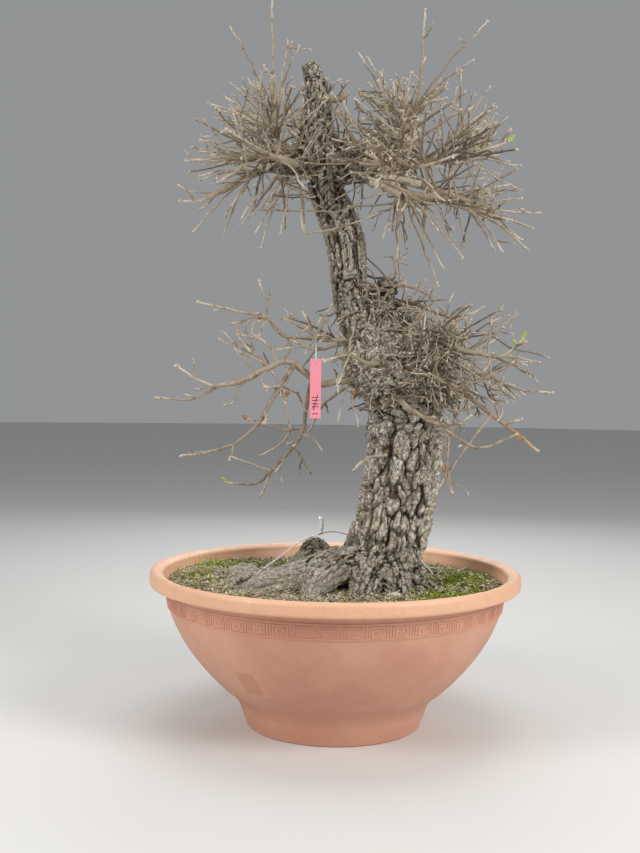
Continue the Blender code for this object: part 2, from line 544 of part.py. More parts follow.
def tie_wire_route():
    """The whole run of the tie wire: twist, left leg, under the pot between two drain holes, right leg."""
    spots = drain_places()
    left_hole = min(spots, key=lambda spot: (spot - Vector((-1, 0.5, 0))).length)
    right_hole = min(spots, key=lambda spot: (spot - Vector((1, 0.5, 0))).length)
    under = BASE_RECESS - TIE_WIRE_RADIUS - GAP * 1.5
    left = [seen(*point) for point in LEFT_LEG]
    right = [seen(*point) for point in RIGHT_LEG]
    lift = Vector((0, 0, 1))

    def below(entry, hole):
        return [
            Vector((*entry.lerp(hole, 0.25).xy, entry.z * 0.5)),
            Vector((*entry.lerp(hole, 0.85).xy, FLOOR_TOP + 0.040)),
            hole + lift * (FLOOR_TOP + 0.010),
            hole + lift * (under + TIE_WIRE_BEND),
            hole.lerp(Vector((0, hole.y, 0)), TIE_WIRE_BEND / DRAIN_CIRCLE) + lift * under,
        ]

    return left + below(left[-1], left_hole) + list(reversed(right + below(right[-1], right_hole)))


def tie_wire(grow=0.0):
    radius = TIE_WIRE_RADIUS + grow
    route = tie_wire_route()
    wire = tube("wire_run", route, [radius] * len(route), SIDES_4)
    twist = [seen(*point) for point in PIGTAIL]
    combine(wire, tube("twist", lengthened(twist, grow), [PIGTAIL_RADIUS + grow] * len(twist), SIDES_6), "UNION")
    return wire


def make_tie_wire():
    wire = tie_wire()
    wire.name = "anchor_wire"
    finish(wire, "galvanised wire")


def make_drain_meshes():
    for number, spot in enumerate(drain_places(), 1):
        middle = (spot.x, spot.y, FLOOR_TOP + GAP + MESH_THICKNESS / 2)
        square = block(f"drain_mesh_{number}", (MESH_SQUARE, MESH_SQUARE, MESH_THICKNESS), middle)
        combine(square, tie_wire(GAP), "DIFFERENCE")
        finish(square, "mesh plastic")


def soil_profile(rise=0.0, inset=GAP):
    """The soil's section; rise lifts its top, to cut what lies on it."""
    edge = soil_radius() - inset
    steps = 8
    low = [point for point in inner_wall(inset) if point[1] < SOIL_EDGE - 0.002]
    side = [(radius, height) for radius, height in reversed(low)]
    top = [(edge * step / steps, soil_level(edge * step / steps) + rise) for step in range(steps + 1)]
    return top + side + [(0, side[-1][1])]


def make_soil():
    soil = turned("soil", soil_profile())
    combine(soil, bole(GAP), "DIFFERENCE")
    for name in ROOTS:
        combine(soil, root(name, GAP), "DIFFERENCE")
    combine(soil, tie_wire(GAP), "DIFFERENCE")
    for spot in drain_places():
        room = MESH_SQUARE + 2 * GAP
        height = 2 * (MESH_THICKNESS + 2 * GAP)
        combine(soil, block("mesh_room", (room, room, height), (spot.x, spot.y, FLOOR_TOP)), "DIFFERENCE")
    finish(soil, "soil")


def rest_on_soil(piece):
    """Trims a piece to what lies above the soil and clear of the tree and the wire."""
    combine(piece, turned("soil_clearance", soil_profile(rise=GAP, inset=-GAP)), "DIFFERENCE")
    combine(piece, bole(GAP), "DIFFERENCE")
    for name in ROOTS:
        combine(piece, root(name, GAP), "DIFFERENCE")
    combine(piece, tie_wire(GAP), "DIFFERENCE")


def on_soil(bearing, share, outer):
    """A place on the soil at a bearing, no nearer to the wall than the piece's outer size allows."""
    reach = min(share * soil_radius(), soil_radius() - outer - 4 * GAP)
    angle = math.radians(bearing)
    return Vector((reach * math.cos(angle), reach * math.sin(angle), soil_level(reach)))


def dome(name, centre, sizes, turn, segments=12, rings=6):
    """A low rounded lump."""
    shape = bmesh.new()
    bmesh.ops.create_uvsphere(shape, u_segments=segments, v_segments=rings, radius=1.0)
    bmesh.ops.scale(shape, vec=sizes, verts=shape.verts)
    bmesh.ops.rotate(shape, matrix=Matrix.Rotation(turn, 3, "Z"), verts=shape.verts)
    bmesh.ops.translate(shape, vec=centre, verts=shape.verts)
    mesh = bpy.data.meshes.new(name)
    shape.to_mesh(mesh)
    shape.free()
    return add(name, mesh)


def make_moss():
    for name, bearing, share, length, width, height in MOSS:
        place = on_soil(bearing, share, width)
        lump = dome(name, place, (width, length, height), math.radians(bearing), 14, 6)
        rest_on_soil(lump)
        finish(lump, "moss")


def make_pebbles():
    for name, bearing, share, size in PEBBLES:
        place = on_soil(bearing, share, size * 1.3) + Vector((0, 0, size * 0.35))
        lump = dome(name, place, (size * 1.25, size * 0.95, size * 0.75), math.radians(bearing * 2), 8, 6)
        rest_on_soil(lump)
        finish(lump, "stone")


def make_bark_flake():
    place = on_soil(303, 0.60, 0.02) + Vector((0, 0, 0.004))
    flake = dome("bark_flake", place, (0.014, 0.007, 0.006), math.radians(20), 8, 6)
    rest_on_soil(flake)
    finish(flake, "pale bark")


def leaf(name, base, direction, length, width, colour):
    """A small blade that starts just clear of its shoot and points along direction."""
    along = Vector(direction).normalized()
    shape = bmesh.new()
    bmesh.ops.create_uvsphere(shape, u_segments=8, v_segments=6, radius=0.5)
    bmesh.ops.scale(shape, vec=(width, 0.0012, length), verts=shape.verts)
    turn = Vector((0, 0, 1)).rotation_difference(along).to_matrix()
    bmesh.ops.rotate(shape, matrix=turn, verts=shape.verts)
    bmesh.ops.translate(shape, vec=base + along * (length / 2), verts=shape.verts)
    mesh = bpy.data.meshes.new(name)
    shape.to_mesh(mesh)
    shape.free()
    add(name, mesh, colour)


def make_leaves():
    for name, limb, direction, length, width, colour in LEAVES:
        before, tip = [seen(*point[:3]) for point in LIMBS[limb][-2:]]
        leaf(name, tip + (tip - before).normalized() * 2 * GAP, direction, length, width, colour)
    flat = on_soil(303, 0.84, 0.02) + Vector((0, 0, 0.0012))
    shape = dome("leaf_fallen", flat, (0.011, 0.007, 0.0014), 0.4, 8, 6)
    rest_on_soil(shape)
    finish(shape, "dry leaf")


def tag_hook():
    """The twig that carries the tag: its centre and radius."""
    limb, knot = TAG_HANGS_FROM
    return seen(*LIMBS[limb][knot][:3]), LIMBS[limb][knot][3] * TREE_HEIGHT / DRAWN_HEIGHT


def make_tag():
    """A flat label on a wire ring over a twig. The ring hangs in the plane across the twig."""
    twig, twig_radius = tag_hook()
    hole = twig.z - TAG_DROP
    middle = (twig.x, twig.y, hole + TAG_HOLE_EDGE - TAG_HEIGHT / 2)
    tag = block("tag", (TAG_WIDTH, TAG_THICKNESS, TAG_HEIGHT), middle)
    bpy.ops.mesh.primitive_cylinder_add(
        vertices=16, radius=TAG_HOLE_RADIUS, depth=10 * TAG_THICKNESS, location=(twig.x, twig.y, hole),
        rotation=(math.pi / 2, 0, 0),
    )
    combine(tag, bpy.context.object, "DIFFERENCE")
    finish(tag, "pink plastic")

    around = twig_radius + TAG_WIRE_RADIUS + 2 * GAP
    through = TAG_HOLE_RADIUS + 2 * TAG_WIRE_RADIUS + 4 * GAP
    lowest = hole + TAG_HOLE_RADIUS - TAG_WIRE_RADIUS - 2.5 * GAP
    points = arc((0, twig.z), (around, around), 0, 180, 6)
    points += arc((0, lowest + through), (through, through), 180, 360, 6)
    ring = bpy.data.curves.new("tag_wire", "CURVE")
    ring.dimensions = "3D"
    ring.bevel_depth = TAG_WIRE_RADIUS
    ring.bevel_resolution = SIDES_6
    spline = ring.splines.new("POLY")
    spline.points.add(len(points) - 1)
    spline.use_cyclic_u = True
    for knot, (across, height) in zip(spline.points, points):
        knot.co = (twig.x, twig.y + across, height, 1.0)
    route = bpy.data.objects.new("tag_wire_route", ring)
    COLLECTION.objects.link(route)
    mesh = merged(evaluated_mesh(route))
    bpy.data.objects.remove(route)
    add("tag_wire", mesh, "galvanised wire")


make_pot()
make_soil()
make_tree()
make_moss()
make_tie_wire()
make_drain_meshes()
make_tag()
make_pebbles()
make_bark_flake()
make_leaves()
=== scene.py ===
import itertools
import math
import random

import bmesh
import bpy
import numpy as np
from mathutils import Matrix, Vector
from mathutils.kdtree import KDTree


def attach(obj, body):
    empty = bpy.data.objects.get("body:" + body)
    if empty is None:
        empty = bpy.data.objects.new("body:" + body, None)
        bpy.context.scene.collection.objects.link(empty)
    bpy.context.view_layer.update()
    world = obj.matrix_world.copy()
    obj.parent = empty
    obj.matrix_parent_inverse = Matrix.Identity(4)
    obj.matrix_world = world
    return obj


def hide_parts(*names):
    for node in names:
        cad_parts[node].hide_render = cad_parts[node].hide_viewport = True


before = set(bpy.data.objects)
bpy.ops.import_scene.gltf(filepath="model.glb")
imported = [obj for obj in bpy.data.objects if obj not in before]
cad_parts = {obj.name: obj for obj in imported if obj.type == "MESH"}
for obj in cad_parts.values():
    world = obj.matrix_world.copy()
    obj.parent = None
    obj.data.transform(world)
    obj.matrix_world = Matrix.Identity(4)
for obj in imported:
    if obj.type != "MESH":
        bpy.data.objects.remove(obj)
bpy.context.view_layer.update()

# --- sizes that the pieces share, in metres ---
LIP_BOTTOM = 0.217
BAND_BOTTOM = 0.1905
WAIST = 0.045  # height where the bowl's wall starts above the foot
WAIST_RADIUS = 0.162  # outer radius of the wall at that height
BOWL_RADIUS = 0.2690  # outer radius of the wall under the band
BOWL_BULGE = 0.0158  # how far the wall swells beyond a straight cone, halfway up
WALL = 0.005
DRAINS = 6
DRAIN_RING = 0.085
DRAIN_RADIUS = 0.007
KEY_UNITS = 49  # meander units round the band
KEY_MIDDLE = 0.2044  # height of the band's middle
SOIL_EDGE = 0.221
SOIL_MOUND = 0.008
SEAT = 0.2706  # the pot's inner radius at the soil's edge
SKIN_VOXEL = 0.00275  # grain of the trunk's skin before it is carved
THICK_WOOD = 0.0055  # limbs of this radius and more join the trunk's skin
ROOT_COARSE = 0.75  # how coarse the bark of the roots is, against 1 on the trunk
TAG_SIZE = (0.0176, 0.0945)  # width, length
TAG_SHEET = 0.0006
WIRE_RADIUS = 0.00105

# The tree is laid out from its front: x and z on the plane through the trunk, then how far
# behind (+) or before (-) that plane the point lies.
VIEW_DISTANCE = 1.790
EYE_HEIGHT = 0.546


def metres(rows):
    """Rows of (x, z, depth) in millimetres, some with a radius in tenths of one, as rows in metres."""
    return [(x / 1000, z / 1000, depth / 1000, *(size / 10000 for size in radius))
            for x, z, depth, *radius in rows]


TRUNK = metres([
    (64, 175, 0, 740), (66, 215, 0, 750), (71, 250, 0, 670), (85, 300, 3, 640), (97, 350, 6, 620),
    (106, 400, 8, 610), (112, 450, 8, 610), (110, 500, 5, 610), (98, 550, 0, 600), (68, 600, -4, 520),
    (35, 645, -6, 360), (18, 700, -6, 300), (14, 750, -4, 310), (4, 800, 0, 320), (-18, 850, 4, 300),
    (-30, 900, 6, 300), (-37, 940, 4, 300), (-40, 980, 0, 270), (-40, 1020, -3, 185), (-47, 1050, -5, 170),
    (-57, 1066, -6, 125)
])
BURLS = metres([
    (104, 556, 4, 690), (128, 588, 4, 600), (80, 600, 8, 610), (150, 560, 0, 440), (62, 646, 12, 430),
    (54, 688, 12, 250), (78, 706, 14, 200), (10, 915, 4, 320), (-68, 910, -4, 270), (40, 905, 10, 220),
    (-105, 915, -10, 200), (70, 925, -18, 180), (75, 560, -30, 480), (45, 590, -20, 400),
    (-10, 905, -18, 260)
])
ROOTS = {name: metres(points) for name, points in {
    "rear_left_knuckle": [(40, 246, 26, 260), (0, 258, 38, 150), (-34, 286, 47, 165), (-58, 258, 54, 155),
        (-90, 228, 64, 155), (-112, 194, 70, 110)],
    "front_lump": [(40, 262, -52, 300), (4, 246, -86, 250), (-24, 230, -116, 230), (-38, 208, -140, 180),
        (-44, 182, -158, 120)],
    "left_ridge": [(10, 266, -34, 240), (-40, 250, -56, 190), (-88, 234, -72, 160), (-130, 222, -82, 140),
        (-158, 198, -88, 100)],
    "left_stump": [(-110, 222, -8, 140), (-140, 236, -6, 180), (-164, 238, -10, 140),
        (-182, 206, -16, 110)],
    "right_ridge": [(110, 262, -30, 300), (140, 226, -46, 180), (168, 204, -58, 120)],
    "surface_left": [(-80, 246, 30, 80), (-112, 240, 36, 65), (-150, 236, 30, 55), (-182, 229, 40, 50),
        (-200, 215, 44, 40)],
    "surface_middle": [(-60, 240, -50, 80), (-96, 234, -40, 65), (-130, 236, -46, 60), (-160, 228, -60, 50),
        (-176, 214, -64, 40)],
    "left": [(40, 256, -4, 340), (-12, 246, -10, 240), (-50, 240, -16, 210), (-95, 230, -22, 190),
        (-140, 226, -28, 210), (-168, 206, -30, 170), (-188, 176, -32, 110)],
    "front_left": [(30, 255, -45, 360), (-20, 230, -66, 270), (-62, 212, -80, 220), (-107, 199, -90, 160),
        (-150, 180, -100, 120)],
    "front": [(62, 248, -54, 380), (52, 230, -92, 290), (44, 206, -124, 210), (38, 178, -146, 130)],
    "front_right": [(88, 244, -48, 340), (100, 224, -86, 250), (106, 202, -116, 180),
        (108, 176, -134, 120)],
    "right": [(100, 245, 10, 340), (135, 212, 20, 220), (165, 180, 28, 160)],
    "back": [(75, 255, 50, 340), (85, 236, 90, 230), (95, 215, 130, 160), (105, 190, 160, 120)],
    "flank": [(70, 295, -10, 400), (34, 262, -18, 280), (-12, 240, -34, 200), (-60, 216, -48, 130)],
    "left_thin": [(-10, 256, 20, 120), (-50, 254, 24, 80), (-78, 251, 20, 60), (-96, 238, 14, 60)],
}.items()}
LIMBS = {name: metres(points) for name, points in {
    "jin": [(-45, 998, -2, 60), (-22, 1007, -10, 55), (0, 1010, -14, 50), (13, 1021, -16, 20)],
    "lower_left": [(70, 568, -35, 70), (3, 555, -30, 58), (-23, 550, -27, 56), (-46, 563, -30, 54),
        (-77, 586, -40, 50), (-113, 576, -50, 46), (-153, 555, -58, 44), (-198, 545, -68, 30),
        (-224, 553, -74, 20), (-262, 576, -80, 16)],
    "lower_left_tip": [(-190, 547, -66, 28), (-218, 531, -60, 20), (-245, 522, -54, 18),
        (-296, 524, -46, 16)],
    "left_middle": [(-72, 580, -40, 46), (-93, 546, -52, 36), (-118, 502, -72, 32), (-128, 485, -80, 28),
        (-169, 450, -98, 21), (-216, 436, -112, 18), (-252, 431, -120, 16)],
    "left_hanging": [(-40, 558, -29, 48), (-49, 525, 0, 40), (-55, 478, 24, 36), (-71, 447, 34, 30),
        (-107, 407, 52, 26), (-115, 384, 58, 20), (-122, 369, 62, 17)],
    "left_hanging_side": [(-55, 478, 24, 28), (-92, 476, 40, 20), (-142, 491, 60, 16)],
    "left_hanging_low": [(-107, 407, 52, 26), (-132, 386, 70, 21), (-179, 387, 90, 16)],
    "left_upper": [(45, 624, -20, 48), (2, 622, -38, 36), (-36, 626, -45, 30), (-89, 628, -52, 26),
        (-117, 658, -60, 24), (-141, 662, -64, 21), (-228, 680, -80, 16)],
    "left_back": [(50, 610, 20, 70), (10, 618, 70, 46), (-35, 606, 120, 30), (-80, 622, 165, 18)],
    "left_back_low": [(60, 570, 40, 70), (30, 556, 90, 44), (-20, 520, 145, 28), (-45, 475, 185, 17)],
    "front_low": [(75, 590, -40, 70), (50, 584, -90, 36), (18, 598, -140, 24), (-22, 588, -175, 16)],
    "right_main": [(120, 600, -20, 120), (165, 614, -30, 75), (200, 608, -40, 48), (245, 600, -52, 32),
        (272, 602, -58, 24), (297, 625, -64, 16)],
    "right_long": [(140, 580, 10, 100), (190, 582, 22, 55), (240, 568, 32, 36), (295, 546, 40, 24),
        (347, 540, 46, 20)],
    "right_front": [(150, 566, -30, 80), (205, 540, -50, 40), (240, 512, -62, 34), (290, 475, -74, 30),
        (325, 447, -82, 22)],
    "right_low": [(80, 540, -50, 50), (130, 505, -74, 36), (175, 480, -88, 28), (215, 455, -96, 24),
        (240, 450, -100, 20), (290, 472, -106, 16)],
    "right_sweep": [(250, 504, -64, 28), (215, 457, -80, 22), (180, 405, -90, 19), (160, 375, -96, 16)],
    "right_upper": [(70, 672, 10, 80), (115, 684, 28, 46), (160, 668, 46, 30), (200, 660, 60, 24),
        (233, 678, 70, 16)],
    "right_back": [(130, 600, 40, 90), (150, 622, 100, 48), (185, 640, 150, 28), (205, 626, 195, 17)],
    "right_back_low": [(130, 570, 50, 80), (165, 548, 105, 42), (190, 506, 150, 26), (186, 470, 180, 17)],
    "crown_left": [(-30, 895, 0, 210), (-70, 908, -8, 180), (-108, 905, -16, 130), (-140, 890, -22, 80),
        (-190, 862, -30, 48), (-225, 845, -34, 30), (-258, 843, -36, 16)],
    "crown_left_leader": [(-100, 905, -14, 120), (-107, 950, -10, 85), (-109, 985, -6, 60),
        (-110, 1050, -2, 22), (-113, 1120, 2, 18), (-115, 1190, 4, 14)],
    "crown_left_back": [(-40, 900, 10, 180), (-60, 915, 60, 110), (-80, 930, 105, 70), (-110, 945, 150, 30),
        (-130, 965, 200, 16)],
    "crown_left_front": [(-50, 900, -10, 160), (-75, 905, -60, 95), (-105, 915, -100, 50),
        (-150, 935, -140, 26), (-185, 960, -175, 16)],
    "crown_right": [(-20, 905, 0, 200), (30, 917, -12, 150), (72, 924, -20, 120), (110, 915, -26, 85),
        (153, 912, -30, 60), (200, 918, -32, 32), (268, 944, -34, 16)],
    "crown_right_low": [(-5, 885, -8, 140), (55, 880, -40, 70), (100, 862, -56, 60), (160, 850, -60, 50),
        (205, 836, -60, 38), (262, 822, -56, 24), (310, 806, -52, 16)],
    "crown_right_middle": [(30, 912, 10, 130), (90, 885, 30, 80), (150, 866, 44, 60), (205, 850, 56, 38),
        (260, 834, 66, 24), (322, 831, 74, 16)],
    "crown_right_leader": [(68, 920, -18, 110), (100, 955, -10, 80), (112, 985, -4, 50), (124, 1020, 2, 23),
        (129, 1085, 8, 19), (132, 1151, 12, 15)],
    "crown_right_back": [(5, 910, 15, 160), (40, 918, 70, 100), (75, 925, 120, 65), (100, 940, 165, 34),
        (125, 960, 215, 17)],
    "crown_right_front": [(10, 905, -15, 140), (55, 905, -75, 75), (95, 900, -120, 44),
        (140, 905, -160, 25), (180, 920, -195, 16)],
}.items()}
# limb, which of its points, tips
SHOOTS = [(limb, number, metres(tips)) for limb, number, tips in (
    ("crown_left_leader", 2, [(-180, 1121, 60), (-70, 1091, -55), (-88, 1099, 80), (-158, 1025, -30),
        (-133, 1042, 40), (-110, 1043, -50), (-80, 1043, 30)]),
    ("crown_left_leader", 1, [(-179, 1032, -80), (-213, 1000, 30), (-150, 1040, 120), (-188, 1011, -20),
        (-163, 982, 80), (-194, 988, -60), (-199, 955, 20), (-225, 947, 50)]),
    ("crown_left", 2, [(-250, 908, 50), (-226, 941, -90), (-225, 923, -10), (-209, 903, -50),
        (-235, 910, -70), (-180, 925, 90)]),
    ("crown_left", 3, [(-237, 795, -70), (-188, 791, 60), (-226, 884, -110), (-226, 878, 30),
        (-198, 875, -60), (-226, 831, 10), (-174, 840, -90), (-173, 828, 50)]),
    ("crown_left", 1, [(-127, 772, 30), (-159, 818, -120), (-60, 803, -110), (-117, 841, -60),
        (-130, 829, 40), (-135, 797, -40), (-160, 806, 20), (-96, 796, -80), (-57, 791, -50)]),
    ("crown_left_back", 2, [(-190, 900, 170), (-95, 850, 180), (-60, 1010, 170)]),
    ("crown_left_front", 2, [(-190, 880, -190), (-85, 985, -160), (-60, 870, -185)]),
    ("crown_right_leader", 1, [(27, 1082, 50), (42, 1075, -60), (82, 1036, 110), (63, 1051, 10),
        (30, 1023, -40), (43, 1020, 70), (97, 1020, -70)]),
    ("crown_right_leader", 2, [(231, 1133, 60), (210, 1073, -50), (167, 1012, -110), (118, 1021, -30),
        (150, 1010, 80)]),
    ("crown_right", 4, [(212, 1000, 60), (225, 970, -110), (287, 906, -60), (225, 987, -30), (240, 940, 70),
        (219, 932, -80)]),
    ("crown_right_low", 4, [(303, 773, -80), (249, 772, -20), (291, 853, -100), (262, 770, -90),
        (291, 788, -30), (257, 866, -70)]),
    ("crown_right_low", 2, [(199, 759, -110), (160, 713, -40), (70, 790, -100), (167, 743, -80),
        (94, 758, -50), (157, 803, -120)]),
    ("crown_right_middle", 3, [(272, 875, 130), (290, 790, 110)]),
    ("crown_right_middle", 1, [(100, 713, 70), (140, 795, 130)]),
    ("crown_right_back", 2, [(170, 900, 200), (60, 1000, 190), (30, 860, 200)]),
    ("crown_right_front", 2, [(100, 990, -170), (165, 850, -190), (60, 880, -205)]),
    ("right_main", 3, [(324, 590, -70), (310, 569, -40), (248, 659, -20)]),
    ("right_main", 1, [(184, 697, -10), (200, 640, -110), (212, 676, -60)]),
    ("right_long", 2, [(302, 538, 70), (262, 500, 10)]),
    ("right_low", 2, [(188, 379, -100), (205, 490, -120)]),
    ("right_upper", 1, [(137, 720, 30), (140, 635, 50)]),
    ("right_back", 2, [(160, 680, 190), (235, 600, 190)]),
    ("left_upper", 4, [(-112, 694, -58), (-172, 647, -75)]),
    ("left_upper", 2, [(-57, 664, -30), (-13, 676, -60), (-90, 655, -70), (-54, 601, -50)]),
    ("lower_left", 5, [(-166, 604, -70), (-125, 606, 0)]),
    ("left_hanging", 3, [(-43, 405, 60), (-98, 409, 10)]),
    ("left_back", 2, [(-60, 570, 170), (-30, 655, 170)]),
    ("front_low", 2, [(25, 640, -180), (0, 550, -180)]),
)]


# --- repeatable noise ---
def hashed(cell, salt):
    """Repeatable numbers from 0 to 1 for rows of three whole numbers."""
    word = cell[:, 0] * 73856093 ^ cell[:, 1] * 19349663 ^ cell[:, 2] * 83492791 ^ (salt * 2654435761)
    word = (word ^ (word >> 15)) * 2246822519 & 0xFFFFFFFF
    word = (word ^ (word >> 13)) * 3266489917 & 0xFFFFFFFF
    return ((word ^ (word >> 16)) & 0xFFFF) / 65535.0


def cracks(points, salt):
    """For each point of a jittered grid pattern: distance to the nearest border, and its cell's number."""
    base = np.floor(points).astype(np.int64)
    near = np.full(len(points), 9.0)
    second = near.copy()
    tone = np.zeros(len(points))
    for step in itertools.product((-1, 0, 1), repeat=3):
        cell = base + np.array(step)
        spot = np.stack([cell[:, k] + 0.1 + 0.8 * hashed(cell, salt + k) for k in range(3)], axis=1)
        gap = np.linalg.norm(points - spot, axis=1)
        closer = gap < near
        second = np.where(closer, near, np.minimum(second, gap))
        tone = np.where(closer, hashed(cell, salt + 7), tone)
        near = np.where(closer, gap, near)
    return second - near, tone


def waves(points, salt):
    """Smooth noise from -1 to 1."""
    base = np.floor(points).astype(np.int64)
    part = points - base
    part = part * part * (3 - 2 * part)
    total = np.zeros(len(points))
    for corner in itertools.product((0, 1), repeat=3):
        weight = np.prod(np.where(np.array(corner) == 1, part, 1 - part), axis=1)
        total += weight * hashed(base + np.array(corner), salt)
    return total * 2 - 1


def smooth_step(low, high, value):
    share = np.clip((value - low) / (high - low), 0, 1)
    return share * share * (3 - 2 * share)


# --- shader building ---
class Nodes:
    """Short calls to add nodes to one tree and to link them."""

    def __init__(self, tree):
        self.tree = tree

    def add(self, kind, inputs=(), **settings):
        node = self.tree.nodes.new(kind)
        for key, value in settings.items():
            setattr(node, key, value)
        for key, value in dict(inputs).items():
            self.set(node, key, value)
        return node

    def set(self, node, key, value):
        if isinstance(value, bpy.types.NodeSocket):
            self.tree.links.new(value, node.inputs[key])
        else:
            node.inputs[key].default_value = value

    def mix(self, share, first, second, blend="MIX"):
        node = self.add("ShaderNodeMix", data_type="RGBA", blend_type=blend)
        self.set(node, 0, share)
        self.set(node, 6, first)
        self.set(node, 7, second)
        return node.outputs[2]

    def math(self, operation, first, second=0.0, clamp=False):
        node = self.add("ShaderNodeMath", operation=operation, use_clamp=clamp)
        self.set(node, 0, first)
        self.set(node, 1, second)
        return node.outputs[0]

    def ramp(self, value, low, high, start=0.0, end=1.0):
        node = self.add("ShaderNodeMapRange", interpolation_type="SMOOTHSTEP")
        for key, number in enumerate((value, low, high, start, end)):
            self.set(node, key, number)
        return node.outputs[0]

    def times(self, first, second):
        return self.math("MULTIPLY", first, second)

    def position(self):
        return self.add("ShaderNodeTexCoord").outputs["Object"]

    def noise(self, scale, detail=3.0, vector=None, rough=0.55):
        node = self.add("ShaderNodeTexNoise", {"Scale": scale, "Detail": detail, "Roughness": rough})
        self.set(node, "Vector", vector or self.position())
        return node.outputs["Fac"]


def rgb(red, green, blue):
    return (red, green, blue, 1.0)


def new_group(name, inputs, outputs):
    """An empty shader group with its sockets: the group, its nodes, what it is given and its result."""
    group = bpy.data.node_groups.new(name, "ShaderNodeTree")
    for label, kind, value in inputs:
        socket = group.interface.new_socket(label, in_out="INPUT", socket_type="NodeSocket" + kind)
        socket.default_value = value
    for label, kind in outputs:
        group.interface.new_socket(label, in_out="OUTPUT", socket_type="NodeSocket" + kind)
    nodes = Nodes(group)
    return group, nodes, nodes.add("NodeGroupInput").outputs, nodes.add("NodeGroupOutput")


def grain_group():
    """Fine two-scale mottling of a colour, with a height for bump."""
    group, nodes, given, result = new_group("surface_grain", (
        ("Colour", "Color", rgb(0.5, 0.5, 0.5)), ("Fleck Colour", "Color", rgb(0.2, 0.2, 0.2)),
        ("Scale", "Float", 200.0), ("Amount", "Float", 0.3)), (("Colour", "Color"), ("Height", "Float")))
    fine = nodes.noise(given["Scale"], 4.0)
    broad = nodes.noise(nodes.times(given["Scale"], 0.13), 3.0)
    share = nodes.math("ADD", nodes.times(nodes.ramp(fine, 0.42, 0.68), given["Amount"]),
                       nodes.times(nodes.ramp(broad, 0.45, 0.75), given["Amount"]))
    nodes.set(result, "Colour",
              nodes.mix(nodes.math("MINIMUM", share, 1.0), given["Colour"], given["Fleck Colour"]))
    nodes.set(result, "Height", nodes.math("ADD", fine, nodes.times(broad, 0.5)))
    return group


GRAIN = grain_group()


def new_finish(name, roughness=0.5, metallic=0.0, specular=0.5):
    finish = bpy.data.materials.new(name)
    finish.use_nodes = True
    finish.node_tree.nodes.clear()
    nodes = Nodes(finish.node_tree)
    shader = nodes.add("ShaderNodeBsdfPrincipled", {"Roughness": roughness, "Metallic": metallic,
                                                    "Specular IOR Level": specular})
    out = nodes.add("ShaderNodeOutputMaterial")
    nodes.set(out, "Surface", shader.outputs[0])
    return finish, nodes, shader


def grained(nodes, colour, fleck, scale, amount):
    node = nodes.add("ShaderNodeGroup", {"Colour": colour, "Fleck Colour": fleck, "Scale": scale,
                                         "Amount": amount}, node_tree=GRAIN)
    return node.outputs["Colour"], node.outputs["Height"]


def bump(nodes, shader, height, strength, distance):
    node = nodes.add("ShaderNodeBump", {"Strength": strength, "Distance": distance, "Height": height})
    nodes.set(shader, "Normal", node.outputs[0])


def marks(nodes, name):
    """The red, green and blue parts of a colour attribute that holds three masks."""
    held = nodes.add("ShaderNodeAttribute", attribute_name=name)
    split = nodes.add("ShaderNodeSeparateColor")
    nodes.set(split, 0, held.outputs["Color"])
    return split.outputs[0], split.outputs[1], split.outputs[2]


def fine_cracks_group():
    """Thin dark cracks and scaly chips in the bark's own space, as a mask that is 1 on the chips."""
    group, nodes, given, result = new_group("fine_cracks", (
        ("Place", "Vector", (0, 0, 0)), ("Chips", "Float", 4.0), ("Width", "Float", 0.10)),
        (("Mask", "Float"),))
    wobble = nodes.add("ShaderNodeTexNoise", {"Scale": 6.0, "Detail": 3.0, "Vector": given["Place"]})
    moved = nodes.add("ShaderNodeVectorMath", {0: wobble.outputs["Color"], 1: (0.30, 0.30, 0.30),
                                               2: given["Place"]}, operation="MULTIPLY_ADD")
    masks = []
    for factor in (1.0, 2.3):
        cells = nodes.add("ShaderNodeTexVoronoi", {"Vector": moved.outputs[0],
                                                   "Scale": nodes.times(given["Chips"], factor)},
                          feature="DISTANCE_TO_EDGE")
        masks.append(nodes.ramp(cells.outputs["Distance"], 0.0, given["Width"]))
    nodes.set(result, "Mask", nodes.times(masks[0], nodes.ramp(masks[1], 0.0, 1.0, 0.5, 1.0)))
    return group


FINE_CRACKS = fine_cracks_group()


def bark_finish():
    """Corky bark: attribute wood holds furrow height, plate tone and green film. Dark furrows and cracks are
    partly painted shade; the pale crests and the paler side facing +X are painted highlight.
    """
    finish, nodes, shader = new_finish("corky_bark", specular=0.25)
    raised, tone, film = marks(nodes, "wood")
    place = nodes.add("ShaderNodeAttribute", attribute_name="bark_place")
    fine = nodes.add("ShaderNodeGroup", {"Place": place.outputs["Vector"], "Chips": 3.4},
                     node_tree=FINE_CRACKS)
    plate = nodes.mix(tone, rgb(0.43, 0.33, 0.24), rgb(0.84, 0.75, 0.62))
    # furrows are mixed to near black and fine cracks to dark brown: partly the bark's own darker colour,
    # partly painted shade in these recesses
    colour = nodes.mix(nodes.ramp(raised, 0.06, 0.46), rgb(0.014, 0.009, 0.006), plate)
    cracked = nodes.ramp(fine.outputs["Mask"], 0.0, 1.0, 0.42, 1.0)
    colour = nodes.mix(cracked, rgb(0.085, 0.060, 0.042), colour)
    # painted highlight: the highest chips of the plates are mixed towards near white
    crest_highlight = nodes.times(nodes.ramp(raised, 0.62, 0.92, 0.0, 0.75), fine.outputs["Mask"])
    colour = nodes.mix(crest_highlight, colour, rgb(0.90, 0.85, 0.76))
    colour = nodes.mix(nodes.times(film, 0.40), colour, rgb(0.52, 0.47, 0.22))
    colour, height = grained(nodes, colour, rgb(0.15, 0.112, 0.080), 420.0, 0.20)
    nodes.set(shader, "Base Color", colour)
    nodes.set(shader, "Roughness", nodes.ramp(height, 0.2, 1.1, 0.78, 0.96))
    relief = nodes.math("ADD", height, nodes.times(fine.outputs["Mask"], 1.6))
    bump(nodes, shader, relief, 1.0, 0.0016)
    return finish


